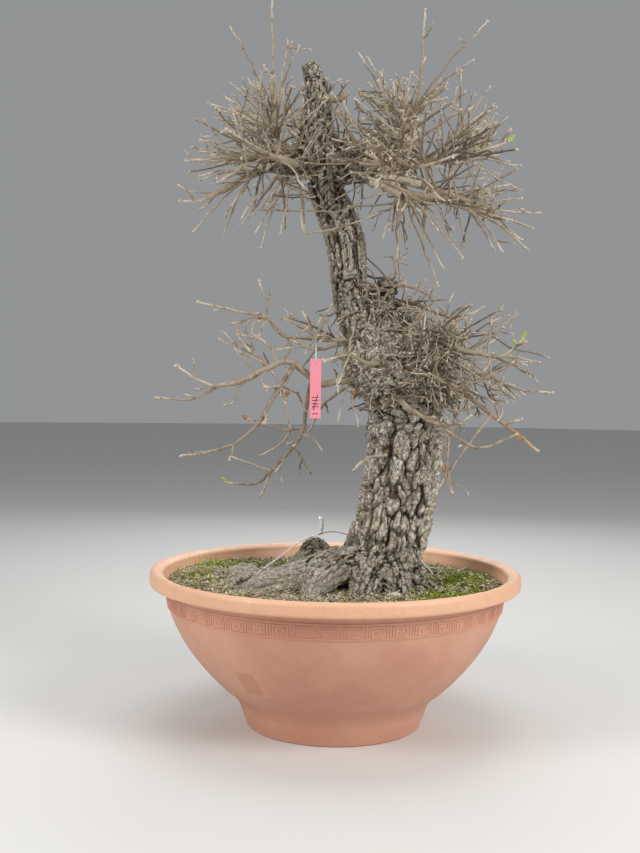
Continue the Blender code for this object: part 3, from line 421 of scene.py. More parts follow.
def twig_finish():
    """Thin wood: attribute wood holds how far along the twig a point lies (0 old to 1 tip), tone and
    redness; near the tips a painted highlight makes it paler.
    """
    finish, nodes, shader = new_finish("twig_bark", specular=0.3)
    toward_tip, tone, red = marks(nodes, "wood")
    colour = nodes.mix(tone, rgb(0.140, 0.105, 0.070), rgb(0.54, 0.455, 0.335))
    # painted highlight: the last part of each twig and its buds are mixed towards a pale tan
    colour = nodes.mix(nodes.ramp(toward_tip, 0.70, 1.0, 0.0, 0.75), colour, rgb(0.74, 0.67, 0.55))
    colour = nodes.mix(nodes.times(red, 0.8), colour, rgb(0.42, 0.185, 0.075))
    colour, height = grained(nodes, colour, rgb(0.060, 0.042, 0.030), 600.0, 0.48)
    nodes.set(shader, "Base Color", colour)
    nodes.set(shader, "Roughness", nodes.ramp(height, 0.3, 1.0, 0.6, 0.85))
    bump(nodes, shader, height, 0.5, 0.0006)
    return finish


def toned_finish(name, colours, scale, amount, roughness, strength, distance, specular,
                 subsurface=0.0, metallic=0.0):
    """A finish of (dark, light, fleck) whose tone varies between small bodies, by attribute wood."""
    finish, nodes, shader = new_finish(name, roughness, metallic, specular)
    dark, light, fleck = [rgb(*colour) for colour in colours]
    colour, height = grained(nodes, nodes.mix(marks(nodes, "wood")[0], dark, light), fleck, scale, amount)
    nodes.set(shader, "Base Color", colour)
    nodes.set(shader, "Roughness",
              nodes.ramp(height, 0.2, 1.2, roughness - 0.12, min(roughness + 0.1, 1.0)))
    nodes.set(shader, "Subsurface Weight", subsurface)
    bump(nodes, shader, height, strength, distance)
    return finish


# --- making pieces ---
STAGE = bpy.data.collections.new("studio")
PLANT = bpy.data.collections.new("planting")
bpy.context.scene.collection.children.link(STAGE)
bpy.context.scene.collection.children.link(PLANT)


def linked(name, data, home=None):
    made = bpy.data.objects.new(name, data)
    (home or PLANT).objects.link(made)
    return made


def settle(piece, nodes=(), finish=None):
    """Gives a finished piece its finish, its body and the nodes it stands for."""
    if finish:
        piece.data.materials.clear()
        piece.data.materials.append(finish)
    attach(piece, "root")
    if nodes:
        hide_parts(*nodes)
    return piece


def add_piece(name, mesh, nodes, finish):
    return settle(linked(name, mesh), nodes, finish)


def moved(shape, verts, scale=(1, 1, 1), turn=0.0, axis="Z", shift=(0, 0, 0)):
    """Scales points of a shape, then turns them about an axis, then shifts them."""
    bmesh.ops.scale(shape, vec=scale, verts=verts)
    bmesh.ops.rotate(shape, matrix=Matrix.Rotation(turn, 3, axis), verts=verts)
    bmesh.ops.translate(shape, vec=shift, verts=verts)


def mesh_from(shape, name, smooth=True):
    mesh = bpy.data.meshes.new(name)
    shape.to_mesh(mesh)
    shape.free()
    if smooth:
        mesh.shade_smooth()
    return mesh


def evaluated(piece):
    graph = bpy.context.evaluated_depsgraph_get()
    return bpy.data.meshes.new_from_object(piece.evaluated_get(graph))


def thicken(piece, thickness):
    layer = piece.modifiers.new("Thickness", "SOLIDIFY")
    layer.thickness = thickness
    layer.offset = 0


def drilled(piece, radius, depth, matrix):
    """The mesh of a piece with a round hole through it."""
    hole = bmesh.new()
    bmesh.ops.create_cone(hole, cap_ends=True, segments=24, radius1=radius, radius2=radius, depth=depth,
                          matrix=matrix)
    cutter = linked("cutter", mesh_from(hole, "cutter", smooth=False))
    cut = piece.modifiers.new("Hole", "BOOLEAN")
    cut.object = cutter
    cut.operation = "DIFFERENCE"
    mesh = evaluated(piece)
    bpy.data.objects.remove(cutter)
    return mesh


def points_of(mesh):
    held = np.empty(len(mesh.vertices) * 3)
    mesh.vertices.foreach_get("co", held)
    return held.reshape(-1, 3)


def set_points(mesh, points):
    mesh.vertices.foreach_set("co", points.ravel())
    mesh.update()


def paint(mesh, first, second=0.0, third=0.0, name="wood"):
    """Stores three masks on the mesh's points."""
    layer = mesh.color_attributes.new(name, "FLOAT_COLOR", "POINT")
    held = np.ones((len(mesh.vertices), 4))
    for column, values in enumerate((first, second, third)):
        held[:, column] = values
    layer.data.foreach_set("color", held.ravel())


def stamped(name, template, places, turns, sizes, tones, smooth=False):
    """One mesh of many copies of a small template: places (N,3), turns (N,3,3), sizes (N,3), tones (N,3)."""
    base = points_of(template)
    corners = np.empty(len(template.loops), dtype=np.int64)
    template.loops.foreach_get("vertex_index", corners)
    counts = np.empty(len(template.polygons), dtype=np.int64)
    template.polygons.foreach_get("loop_total", counts)
    many = len(places)
    moved = np.einsum("nij,nkj->nki", turns, base[None] * sizes[:, None, :]) + places[:, None, :]
    mesh = bpy.data.meshes.new(name)
    mesh.vertices.add(many * len(base))
    mesh.vertices.foreach_set("co", moved.ravel())
    all_counts = np.tile(counts, many)
    all_corners = (corners[None] + np.arange(many)[:, None] * len(base)).ravel()
    mesh.loops.add(len(all_corners))
    mesh.loops.foreach_set("vertex_index", all_corners)
    mesh.polygons.add(len(all_counts))
    mesh.polygons.foreach_set("loop_start", np.concatenate([[0], np.cumsum(all_counts)[:-1]]))
    mesh.update(calc_edges=True)
    mesh.validate()
    held = np.repeat(tones, len(base), axis=0)
    paint(mesh, held[:, 0], held[:, 1], held[:, 2])
    if smooth:
        mesh.shade_smooth()
    return mesh


def turns_to(directions, spins):
    """Matrices that turn +Z to each direction after a spin about it."""
    up = directions / np.linalg.norm(directions, axis=1, keepdims=True)
    other = np.where(np.abs(up[:, 2:3]) > 0.9, [[1.0, 0.0, 0.0]], [[0.0, 0.0, 1.0]])
    side = np.cross(other, up)
    side /= np.linalg.norm(side, axis=1, keepdims=True)
    front = np.cross(up, side)
    c, s = np.cos(spins)[:, None], np.sin(spins)[:, None]
    return np.stack([side * c + front * s, front * c - side * s, up], axis=2)


def seen(x, z, depth):
    """Where a point of the tree's front drawing lies in space."""
    spread = 1 + depth / VIEW_DISTANCE
    return Vector((x * spread, depth, EYE_HEIGHT + (z - EYE_HEIGHT) * spread))


def smoothed(points, step):
    """A smooth curve through (place, radius) knots, read off about every step."""
    knots = [Vector((*place, radius)) for place, radius in points]
    knots = [knots[0] * 2 - knots[1], *knots, knots[-1] * 2 - knots[-2]]
    path = []
    for k in range(1, len(knots) - 2):
        before, start, end, after = knots[k - 1:k + 3]
        pieces = max(2, round((end - start).length / step))
        for n in range(pieces):
            t = n / pieces
            path.append(0.5 * ((2 * start) + (end - before) * t
                               + (2 * before - 5 * start + 4 * end - after) * t * t
                               + (3 * start - before - 3 * end + after) * t ** 3))
    path.append(knots[-2])
    return [(Vector(p[:3]), max(p[3], 0.0003)) for p in path]


def drawn(points, step):
    return smoothed([(seen(*point[:3]), point[3]) for point in points], step)


class Bundle:
    """Many tapered tubes that become one mesh. marks holds three masks for every point."""

    def __init__(self, sides):
        self.curve = bpy.data.curves.new("bundle", "CURVE")
        self.curve.dimensions = "3D"
        self.curve.bevel_depth = 1.0
        self.curve.bevel_resolution = sides
        self.curve.use_fill_caps = True
        self.places = []
        self.marks = []

    def add(self, path, start=(0, 0.5, 0), end=(1, 0.5, 0)):
        spline = self.curve.splines.new("POLY")
        spline.points.add(len(path) - 1)
        first, last = np.array(start, float), np.array(end, float)
        for k, (place, radius) in enumerate(path):
            spline.points[k].co = (*place, 1.0)
            spline.points[k].radius = radius
            self.places.append(place.copy())
            self.marks.append(first + (last - first) * k / (len(path) - 1))

    def mesh(self, name):
        route = linked(name, self.curve)
        mesh = evaluated(route)
        mesh.name = name
        bpy.data.objects.remove(route)
        tree = KDTree(len(self.places))
        for number, place in enumerate(self.places):
            tree.insert(place, number)
        tree.balance()
        held = np.array([self.marks[tree.find(vertex.co)[1]] for vertex in mesh.vertices])
        paint(mesh, held[:, 0], held[:, 1], held[:, 2])
        mesh.shade_smooth()
        return mesh


# --- camera, light and floor ---
def set_camera():
    """A standing viewer in front, a little above the middle, tipped slightly down."""
    pitch, yaw, roll = 0.0363, -0.0155, 0.0132
    side = Vector((math.cos(yaw), -math.sin(yaw), 0))
    ahead = Vector((math.sin(yaw), math.cos(yaw), 0))
    forward = ahead * math.cos(pitch) - Vector((0, 0, math.sin(pitch)))
    up = ahead * math.sin(pitch) + Vector((0, 0, math.cos(pitch)))
    right = side * math.cos(roll) + up * math.sin(roll)
    top = up * math.cos(roll) - side * math.sin(roll)
    lens = bpy.data.cameras.new("camera")
    lens.lens = 46.4
    lens.sensor_width = 36.0
    camera = linked("camera", lens, STAGE)
    camera.matrix_world = Matrix.Translation((0, -VIEW_DISTANCE, EYE_HEIGHT)) @ Matrix(
        (right, top, -forward)).transposed().to_4x4()
    bpy.context.scene.camera = camera


def add_light(name, place, aim, size, power, colour=(1, 1, 1)):
    lamp = bpy.data.lights.new(name, "AREA")
    lamp.shape = "RECTANGLE"
    lamp.size, lamp.size_y = size
    lamp.energy = power
    lamp.color = colour
    light = linked(name, lamp, STAGE)
    light.location = place
    light.rotation_euler = (Vector(aim) - Vector(place)).to_track_quat("-Z", "Y").to_euler()


def set_studio():
    add_light("key_right", (1.9, -1.5, 1.7), (0.05, 0, 0.55), (0.9, 1.4), 56, (1.0, 0.985, 0.96))
    add_light("key_left", (-1.9, -1.3, 1.5), (0.0, 0, 0.55), (0.9, 1.4), 36, (1.0, 0.985, 0.96))
    add_light("top", (0.0, 0.4, 2.8), (0, 0, 0.5), (1.8, 1.8), 28)
    add_light("back", (0.2, 2.4, 1.6), (0, 0, 0.6), (1.6, 1.0), 16)
    world = bpy.data.worlds.new("studio_air")
    world.use_nodes = True
    sky = world.node_tree.nodes["Background"].inputs
    sky[0].default_value, sky[1].default_value = (0.80, 0.82, 0.84, 1), 0.36
    bpy.context.scene.world = world
    view = bpy.context.scene.view_settings
    view.view_transform, view.look = "Standard", "None"
    shape = bmesh.new()
    bmesh.ops.create_circle(shape, cap_ends=True, segments=64, radius=14.0)
    moved(shape, shape.verts, shift=(0, 0, -0.0005))
    floor = linked("floor", mesh_from(shape, "floor", smooth=False), STAGE)
    finish, nodes, shader = new_finish("pale_floor", roughness=0.75, specular=0.2)
    nodes.set(shader, "Base Color", rgb(0.66, 0.655, 0.64))
    floor.data.materials.append(finish)


# --- pot ---
def arc(centre, radii, start, end, steps):
    """Points on an ellipse's arc, angles in degrees from +radius towards +height."""
    turn = [math.radians(start + (end - start) * step / steps) for step in range(steps + 1)]
    return [(centre[0] + radii[0] * math.cos(a), centre[1] + radii[1] * math.sin(a)) for a in turn]


def bowl_radius(height):
    """The bowl's outer radius between waist and band."""
    share = (height - WAIST) / (BAND_BOTTOM - WAIST)
    return WAIST_RADIUS + (BOWL_RADIUS - WAIST_RADIUS) * share + BOWL_BULGE * 4 * share * (1 - share)


def band_radius(height):
    return 0.2702 + 0.0042 * (height - BAND_BOTTOM) / (LIP_BOTTOM - BAND_BOTTOM)


def pot_profile():
    """The wall's section from the middle of the floor, up the inside, over the lip and down outside."""
    heights = [WAIST + (BAND_BOTTOM - WAIST) * k / 14 for k in range(15)]
    inside = [(0, 0.011), (0.130, 0.011)] + arc((0.136, 0.017), (0.006, 0.006), -90, -20, 3)
    inside += [(0.148, 0.036)] + [(bowl_radius(z) - WALL, z) for z in heights]
    inside += [(0.2676, 0.205), (0.2708, 0.2200)]
    lip = [(0.2742, 0.2330), (0.2776, 0.2395)] + arc((0.2840, 0.2410), (0.0062, 0.0066), 175, 105, 5)
    lip += [(0.2886, 0.2496)] + arc((0.2924, 0.2428), (0.0076, 0.0078), 85, 0, 8)
    lip += arc((0.2948, 0.2322), (0.0052, 0.0050), 0, -80, 7)
    lip += [(0.2880, 0.2264), (0.2805, 0.2250), (0.2764, 0.2232), (0.2750, 0.2205), (0.2745, 0.2180)]
    band = []
    for low, high in ((0.2138, 0.2168), (0.1922, 0.1950)):
        band += [(band_radius(high), high), (band_radius(high) + 0.0011, high - 0.0006),
                 (band_radius(low) + 0.0011, low + 0.0006), (band_radius(low), low)]
    band += [(0.27005, 0.1910), (0.26940, 0.1904)]
    shoulder, corner, end = (bowl_radius(0.062), 0.062), (0.1560, 0.0455), (0.1517, 0.0260)
    foot = []
    for k in range(9):
        t = k / 8
        foot.append(tuple((1 - t) ** 2 * shoulder[n] + 2 * t * (1 - t) * corner[n] + t * t * end[n]
                          for n in (0, 1)))
    foot += [(0.1490, 0.018), (0.1440, 0.006)]
    foot += arc((0.1405, 0.0020), (0.0022, 0.0020), 0, -90, 4)
    foot += [(0.1225, 0.0), (0.1210, 0.001), (0.1200, 0.0060), (0.031, 0.0060), (0.030, 0.0008),
             (0.029, 0.0), (0, 0)]
    return inside + lip + band + [(bowl_radius(z), z) for z in reversed(heights) if z > 0.064] + foot


def turned_shape(profile, segments):
    """A bmesh turned about Z from (radius, height) points."""
    shape = bmesh.new()
    line = [shape.verts.new((radius, 0, height)) for radius, height in profile]
    edges = [shape.edges.new(pair) for pair in zip(line, line[1:])]
    bmesh.ops.spin(shape, geom=line + edges, cent=(0, 0, 0), axis=(0, 0, 1), angle=2 * math.pi,
                   steps=segments, use_merge=True)
    bmesh.ops.remove_doubles(shape, verts=shape.verts, dist=1e-6)
    bmesh.ops.recalc_face_normals(shape, faces=shape.faces)
    return shape


def key_strips():
    """One unit of the band's meander as (centre u, centre v, width, height) strips in millimetres."""
    line, pitch, tall = 1.5, 34.4, 19.0
    strips = [(0.8, 0, line, tall), (5.2, -0.4, line, 15.5)]
    right = pitch - 3.4
    strips += [((5.2 + right) / 2, 7.3, right - 5.2 + line, line)]
    strips += [(right, -0.6, line, 16.8), ((9.4 + right) / 2, -8.4, right - 9.4 + line, line)]
    strips += [(9.6, -2.6, line, 12.2), ((9.6 + 26.2) / 2, 3.4, 18.0, line), (26.2, -0.6, line, 9.0)]
    strips += [(21.0, -4.7, 11.0, line), (15.6, -3.0, line, 4.6), (18.4, -0.9, 6.8, line)]
    return strips


def make_key_band():
    """Raised meander strips laid round the band."""
    shape = bmesh.new()
    step = 2 * math.pi / KEY_UNITS
    lean = math.atan2(band_radius(LIP_BOTTOM) - band_radius(BAND_BOTTOM), LIP_BOTTOM - BAND_BOTTOM)
    for unit, (across, up, width, tall) in itertools.product(range(KEY_UNITS), key_strips()):
        height = KEY_MIDDLE + up / 1000
        radius = band_radius(height)
        block = bmesh.ops.create_cube(shape, size=1.0)["verts"]
        moved(shape, block, (0.0023, width / 1000, tall / 1000), lean, "Y", (radius - 0.0001, 0, height))
        moved(shape, block, turn=step * unit + across / 1000 / radius)
    piece = linked("pot_key_band", mesh_from(shape, "pot_key_band", smooth=False))
    bevel = piece.modifiers.new("Rounding", "BEVEL")
    bevel.width = 0.0005
    bevel.segments = 1
    return piece


def patch_group():
    """A ragged box mask at a place: 1 inside the box, 0 outside."""
    group, nodes, given, result = new_group("ragged_patch", (
        ("Place", "Vector", (0, 0, 0)), ("Lean", "Vector", (0, 0, 0)),
        ("Half Sizes", "Vector", (0.01, 0.01, 0.01)), ("Ragged", "Float", 0.3)), (("Mask", "Float"),))
    room = nodes.add("ShaderNodeMapping", {"Vector": nodes.position(), "Location": given["Place"],
                                           "Rotation": given["Lean"], "Scale": given["Half Sizes"]},
                     vector_type="TEXTURE")
    sides = nodes.add("ShaderNodeSeparateXYZ", {0: room.outputs[0]})
    wide, deep, tall = [nodes.math("ABSOLUTE", sides.outputs[k]) for k in range(3)]
    ragged = nodes.times(nodes.noise(95.0, 5.0), given["Ragged"])
    reach = nodes.math("ADD", nodes.math("MAXIMUM", wide, tall), ragged)
    inside = nodes.ramp(reach, 1.10, 1.24, 1.0, 0.0)
    nodes.set(result, "Mask", nodes.times(inside, nodes.ramp(deep, 0.9, 1.0, 1.0, 0.0)))
    return group


PATCH = patch_group()


def patch_mask(nodes, place, lean, turn, half_sizes, ragged):
    tip = (0.0, math.radians(lean), math.radians(turn))
    return nodes.add("ShaderNodeGroup", {"Place": place, "Lean": tip, "Half Sizes": half_sizes,
                                         "Ragged": ragged}, node_tree=PATCH).outputs["Mask"]


def pot_finish():
    """Satin terracotta-coloured plastic with a painted highlight that makes the lip paler, a patch of old
    glue and scuffs.
    """
    finish, nodes, shader = new_finish("pot_plastic", specular=0.45)
    body = nodes.mix(nodes.ramp(nodes.noise(9.0, 4.0), 0.35, 0.70),
                     rgb(0.570, 0.278, 0.188), rgb(0.640, 0.342, 0.235))
    up = nodes.add("ShaderNodeSeparateXYZ", {0: nodes.position()}).outputs[2]
    # painted highlight: from the lip's underside upwards the colour is mixed towards a pale orange, as if
    # lit from above
    body = nodes.mix(nodes.ramp(up, 0.217, 0.233, 0.0, 0.62), body, rgb(0.86, 0.53, 0.325))
    residue = patch_mask(nodes, (-0.1205, -0.179, 0.1055), -2, -34, (0.0165, 0.06, 0.0195), 0.35)
    body = nodes.mix(nodes.times(residue, 0.60), body, rgb(0.50, 0.235, 0.125))
    scuffs = None
    for place, lean, sizes in (((-0.100, -0.165, 0.0810), 4, (0.022, 0.06, 0.0007)),
                               ((-0.076, -0.176, 0.0805), -6, (0.016, 0.06, 0.0006)),
                               ((-0.052, -0.178, 0.0715), 42, (0.015, 0.06, 0.0006)),
                               ((-0.084, -0.165, 0.0720), 50, (0.013, 0.06, 0.0006)),
                               ((-0.033, -0.178, 0.0600), 20, (0.010, 0.06, 0.0005)),
                               ((-0.094, -0.155, 0.0660), 62, (0.010, 0.06, 0.0006))):
        mark = patch_mask(nodes, place, lean, -20, sizes, 0.9)
        scuffs = mark if scuffs is None else nodes.math("MAXIMUM", scuffs, mark)
    body = nodes.mix(nodes.times(scuffs, 0.80), body, rgb(0.33, 0.165, 0.115))
    dirt = nodes.ramp(nodes.noise(26.0, 6.0, rough=0.7), 0.60, 0.78, 0.0, 0.30)
    body = nodes.mix(dirt, body, rgb(0.36, 0.20, 0.135))
    colour, height = grained(nodes, body, rgb(0.46, 0.235, 0.160), 260.0, 0.16)
    nodes.set(shader, "Base Color", colour)
    rough = nodes.ramp(nodes.noise(40.0, 4.0), 0.3, 0.7, 0.40, 0.56)
    nodes.set(shader, "Roughness", nodes.math("ADD", rough, nodes.times(residue, 0.12)))
    bump(nodes, shader, height, 0.18, 0.0004)
    return finish


def drain_places():
    """The middles of the drain holes, as (x, y)."""
    turns = [2 * math.pi / DRAINS * (k + 0.5) for k in range(DRAINS)]
    return [(DRAIN_RING * math.cos(turn), DRAIN_RING * math.sin(turn)) for turn in turns]


def make_pot():
    bowl = linked("pot_bowl", mesh_from(turned_shape(pot_profile(), 224), "pot_bowl"))
    for x, y in drain_places():
        mesh = drilled(bowl, DRAIN_RADIUS, 0.05, Matrix.Translation((x, y, 0.01)))
        bowl.modifiers.clear()
        bowl.data = mesh
    bowl.data.set_sharp_from_angle(angle=math.radians(38))
    finish = pot_finish()
    settle(bowl, ["pot"], finish)
    settle(make_key_band(), (), finish)


# --- wood ---
def wood_paths():
    """Every thick run of wood as (path of (place, radius), how coarse its bark is)."""
    paths = [(drawn(TRUNK, 0.012), 1.0)]
    paths += [(drawn(points, 0.012), ROOT_COARSE) for points in ROOTS.values()]
    for points in LIMBS.values():
        thick = [point for point in points if point[3] >= THICK_WOOD]
        if len(thick) > 1:
            paths.append((drawn(thick, 0.012), 0.6))
    return paths


def rough_union():
    """Trunk, roots, burls and thick limbs as one skin."""
    bundle = Bundle(6)
    for path, _ in wood_paths():
        bundle.add(path)
    body = linked("wood", bundle.mesh("wood"))
    shape = bmesh.new()
    shape.from_mesh(body.data)
    for x, z, depth, radius in BURLS:
        bmesh.ops.create_icosphere(shape, subdivisions=3, radius=radius,
                                   matrix=Matrix.Translation(seen(x, z, depth)))
    body.data = mesh_from(shape, "wood")
    remesh = body.modifiers.new("Skin", "REMESH")
    remesh.mode = "VOXEL"
    remesh.voxel_size = SKIN_VOXEL
    mesh = evaluated(body)
    bpy.data.objects.remove(body)
    shape = bmesh.new()
    shape.from_mesh(mesh)
    for _ in range(4):
        bmesh.ops.smooth_vert(shape, verts=shape.verts, factor=0.5, use_axis_x=True, use_axis_y=True,
                              use_axis_z=True)
    return mesh_from(shape, "tree_trunk")


def wood_frames():
    """Stations along thick runs: place, direction, two cross axes, distance along, radius, bark, number."""
    rows = []
    for number, (path, coarse) in enumerate(wood_paths()):
        side, run = Vector((1, 0, 0)), 0.0
        for k, (place, radius) in enumerate(path):
            ahead = path[min(k + 1, len(path) - 1)][0] - path[max(k - 1, 0)][0]
            ahead.normalize()
            side = (side - ahead * side.dot(ahead)).normalized()
            if k:
                run += (place - path[k - 1][0]).length
            rows.append([*place, *ahead, *side, *ahead.cross(side), run, radius, coarse, number])
    return np.array(rows)


def bark_space(points):
    """Places in the bark's own space, its cells one bark plate across, and each point's plate width."""
    stations = wood_frames()
    best = np.empty(len(points), dtype=np.int64)
    for start in range(0, len(points), 20000):
        part = points[start:start + 20000]
        away = np.linalg.norm(part[:, None] - stations[None, :, :3], axis=2) / (stations[None, :, 13] + 0.01)
        best[start:start + 20000] = away.argmin(axis=1)
    own = stations[best]
    offset = points - own[:, :3]
    along = own[:, 12] + (offset * own[:, 3:6]).sum(axis=1)
    across = np.stack([(offset * own[:, 6:9]).sum(axis=1), (offset * own[:, 9:12]).sum(axis=1)], axis=1)
    around = across / np.maximum(np.linalg.norm(across, axis=1, keepdims=True), 1e-6)
    width = np.clip(own[:, 13] * 0.355, 0.0055, 0.0220) * (0.6 + 0.4 * own[:, 14])
    width = np.where(own[:, 14] == ROOT_COARSE, np.maximum(width, 0.0088), width)
    for x, z, depth, radius in BURLS[:9]:
        gap = np.linalg.norm(points - np.array(seen(x, z, depth)), axis=1)
        width = np.where(gap < radius * 1.04, np.minimum(width, 0.0105), width)
    tall = width * (2.0 - 0.8 * smooth_step(0.46, 0.58, points[:, 2])
                    + 0.9 * smooth_step(0.66, 0.75, points[:, 2]))
    tall = np.where(own[:, 14] == ROOT_COARSE, width * 2.1, tall)
    space = np.stack([around[:, 0] * own[:, 13] / width, around[:, 1] * own[:, 13] / width, along / tall],
                     axis=1)
    return space + own[:, 15:16] * 11.3, width


def carve_bark(mesh):
    """Moves the skin in along the furrows and stores furrow, tone (with a painted highlight on the side
    facing +X) and green film on it.
    """
    points = points_of(mesh)
    normals = np.empty(len(points) * 3)
    mesh.vertices.foreach_get("normal", normals)
    normals = normals.reshape(-1, 3)
    space, width = bark_space(points)
    bent = space + np.stack([waves(space * 0.9 + 9.7 * k, 40 + k) for k in range(3)],
                            axis=1) * [0.42, 0.42, 0.34]
    bent += np.stack([waves(space * 3.1 + 5.1 * k, 50 + k) for k in range(3)], axis=1) * 0.10
    gap, tone = cracks(bent, 11)
    vertical, _ = cracks(bent * [0.86, 0.86, 0.24] + 5.0, 23)
    split, small_tone = cracks(bent * 2.3 + 3.0, 57)
    soft = np.clip(0.0145 / width, 1.0, 1.7)
    plate = smooth_step(0.02, 0.17 * soft, gap)
    ridge = smooth_step(0.01, 0.13 * soft, vertical)
    chip = smooth_step(0.0, 0.26, split)
    crumble = waves(points * 420, 71) * 0.5 + waves(points * 210, 72) * 0.5
    raised = np.clip((0.16 + 0.84 * ridge) * (0.18 + 0.82 * plate) * (0.68 + 0.32 * chip), 0, 1)
    across, height = points[:, 0], points[:, 2]
    worn = 0.30 * smooth_step(0.515, 0.56, height) * smooth_step(0.68, 0.63, height)
    worn = np.maximum(worn, 0.52 * smooth_step(0.285, 0.25, height) * smooth_step(0.05, -0.01, across))
    raised += (1 - raised) * worn * 0.42
    move = width * 0.46 * (raised - 0.80) + width * 0.15 * (tone - 0.5) * plate * ridge
    move += width * 0.05 * (small_tone - 0.5) * chip + 0.0006 * crumble * (0.4 + raised)
    lumps = waves(points * 34, 90) * 0.0030 * smooth_step(0.008, 0.02, width)
    set_points(mesh, points + normals * (move + lumps)[:, None])
    film = smooth_step(-0.1, 0.9, -normals[:, 0]) * smooth_step(0.42, 0.24, height)
    film = np.maximum(film, smooth_step(0.31, 0.25, height) * smooth_step(0.09, -0.02, across)
                      * (0.15 + 0.75 * smooth_step(-0.2, 0.5, waves(points * 38, 35))))
    film *= 0.55 + 0.45 * waves(points * 60, 33)
    film = np.maximum(film, 0.25 * smooth_step(0.86, 0.9, height)
                      * smooth_step(0.0, 0.4, waves(points * 45, 34)))
    # painted highlight: bark on the lower trunk that faces +X, towards the key light, is made paler
    right_side_highlight = smooth_step(0.10, 0.9, normals[:, 0]) * smooth_step(0.48, 0.38, height)
    pale_root = smooth_step(0.29, 0.25, height) * smooth_step(0.04, -0.02, across) * 0.85
    pale_root += 0.22 * smooth_step(0.93, 0.98, height)
    shade = np.clip(0.16 + pale_root + 0.50 * tone + 0.24 * small_tone + 0.40 * right_side_highlight + 0.12 * crumble, 0, 1)
    paint(mesh, np.clip(raised + 0.06 * crumble, 0, 1), shade, np.clip(film, 0, 1))
    layer = mesh.attributes.new("bark_place", "FLOAT_VECTOR", "POINT")
    layer.data.foreach_set("vector", bent.ravel())


def jitter(rng):
    return Vector([rng.uniform(-1, 1) for _ in range(3)])


def any_way(rng):
    return Vector([rng.gauss(0, 1) for _ in range(3)])


def gnarled(path, rng, amount):
    """A path with small knots and bends, its two ends kept."""
    bent = [path[0]]
    for place, radius in path[1:-1]:
        shift = jitter(rng) * (amount + radius * 0.10)
        swell = 1.0 + rng.uniform(-0.09, 0.12)
        bent.append((place + shift, radius * swell))
    bent.append(path[-1])
    return bent


def shoot_path(start, end, root, tip, rng, bow=0.06, step=0.016):
    """A springy shoot from start to end with slight zigzag at its buds."""
    length = (end - start).length
    lift = Vector((rng.uniform(-0.4, 0.4), rng.uniform(-0.4, 0.4), 1.0)) * bow * length
    steps = max(4, round(length / step))
    path = []
    for k in range(steps + 1):
        t = k / steps
        place = start.lerp(end, t) + lift * math.sin(math.pi * t) * (1 - 0.3 * t)
        if 0 < k < steps:
            place = place + jitter(rng) * 0.0022
        path.append((place, root + (tip - root) * t))
    return path


def add_buds(bundle, path, rng, tone):
    """Small scaly buds along a shoot and a cluster at its tip."""
    tip, before = path[-1][0], path[-2][0]
    ahead = (tip - before).normalized()
    radius = path[-1][1]
    for k in range(rng.choice((2, 3, 3))):
        lean = jitter(rng) * (0.25 if k == 0 else 0.9)
        way = (ahead + lean).normalized()
        length = rng.uniform(0.0035, 0.0060)
        bundle.add([(tip - ahead * 0.0008, radius * 0.8), (tip + way * length * 0.35, radius * 1.25),
                    (tip + way * length * 0.7, radius * 0.9), (tip + way * length, radius * 0.2)],
                   (0.9, tone, 0.25), (1.0, tone, 0.15))
    for k in range(2, len(path) - 1, 2):
        if rng.random() < 0.55:
            along = (path[k][0] - path[k - 1][0]).normalized()
            away = sideways(along, rng)
            way = (along * 0.8 + away).normalized()
            base = path[k][0] + away * path[k][1] * 0.6
            bundle.add([(base, 0.0009), (base + way * 0.0018, 0.0012), (base + way * 0.0036, 0.0002)],
                       (0.6, tone, 0.3), (0.9, tone, 0.2))


def make_limbs():
    """The limbs from where they leave the trunk's skin out to their tips."""
    rng = random.Random(5)
    bundle = Bundle(3)
    for name, points in LIMBS.items():
        path = gnarled(drawn(points, 0.010), rng, 0.0006)
        path = [(place, min(radius, THICK_WOOD + 0.3 * max(0.0, radius - THICK_WOOD)))
                for place, radius in path]
        reddish = 0.75 if name == "right_front" else rng.uniform(0, 0.2)
        tone = rng.uniform(0.35, 0.7)
        bundle.add(path, (0.0, tone, 0.0), (1.0, tone, reddish))
        if name != "jin":
            add_buds(bundle, path[-6:], rng, tone)
    return bundle.mesh("tree_limbs")


def knot_on(limb, number):
    point = LIMBS[limb][number]
    return seen(*point[:3]), point[3]


def named_shoots(bundle, buds, rng):
    """The shoots whose tips give the tree its outline."""
    made = []
    for limb, number, tips in SHOOTS:
        start, radius = knot_on(limb, number)
        for tip in tips:
            end = seen(*tip)
            path = shoot_path(start, end, min(0.0020, radius), 0.0013, rng)
            tone = rng.uniform(0.3, 0.9)
            bundle.add(path, (0.1, tone, 0.0), (1.0, tone, rng.choice((0, 0, 0.3))))
            add_buds(buds, path, rng, tone)
            made.append(path)
    return made


# centre, half-sizes, how many shoots, upward lean, hubs
PADS = [(*metres((centre, half)), count, lean, metres(hubs)) for centre, half, count, lean, hubs in (
    ((-118, 918, 0), (118, 116, 165), 152, 0.1, [(-110, 915, -10), (-100, 950, 0), (-130, 895, -50),
     (-110, 920, 70), (-85, 905, 0)]),
    ((0, 955, 0), (85, 75, 110), 80, 0.25, [(-40, 920, -30), (10, 930, -30), (30, 935, 30),
     (-10, 920, 50)]),
    ((128, 905, 0), (154, 135, 190), 270, 0.12, [(80, 935, -10), (110, 955, 0), (130, 915, -50),
     (185, 880, -40), (215, 850, 10), (150, 875, 50), (95, 925, 100), (100, 905, -110)]),
    ((205, 590, 0), (118, 82, 160), 105, 0.05, [(170, 605, -30), (190, 585, 20), (200, 560, -50),
     (150, 600, 80)]),
    ((-20, 595, 0), (90, 60, 120), 20, 0.1, [(20, 600, 0), (10, 580, 40)]),
)]


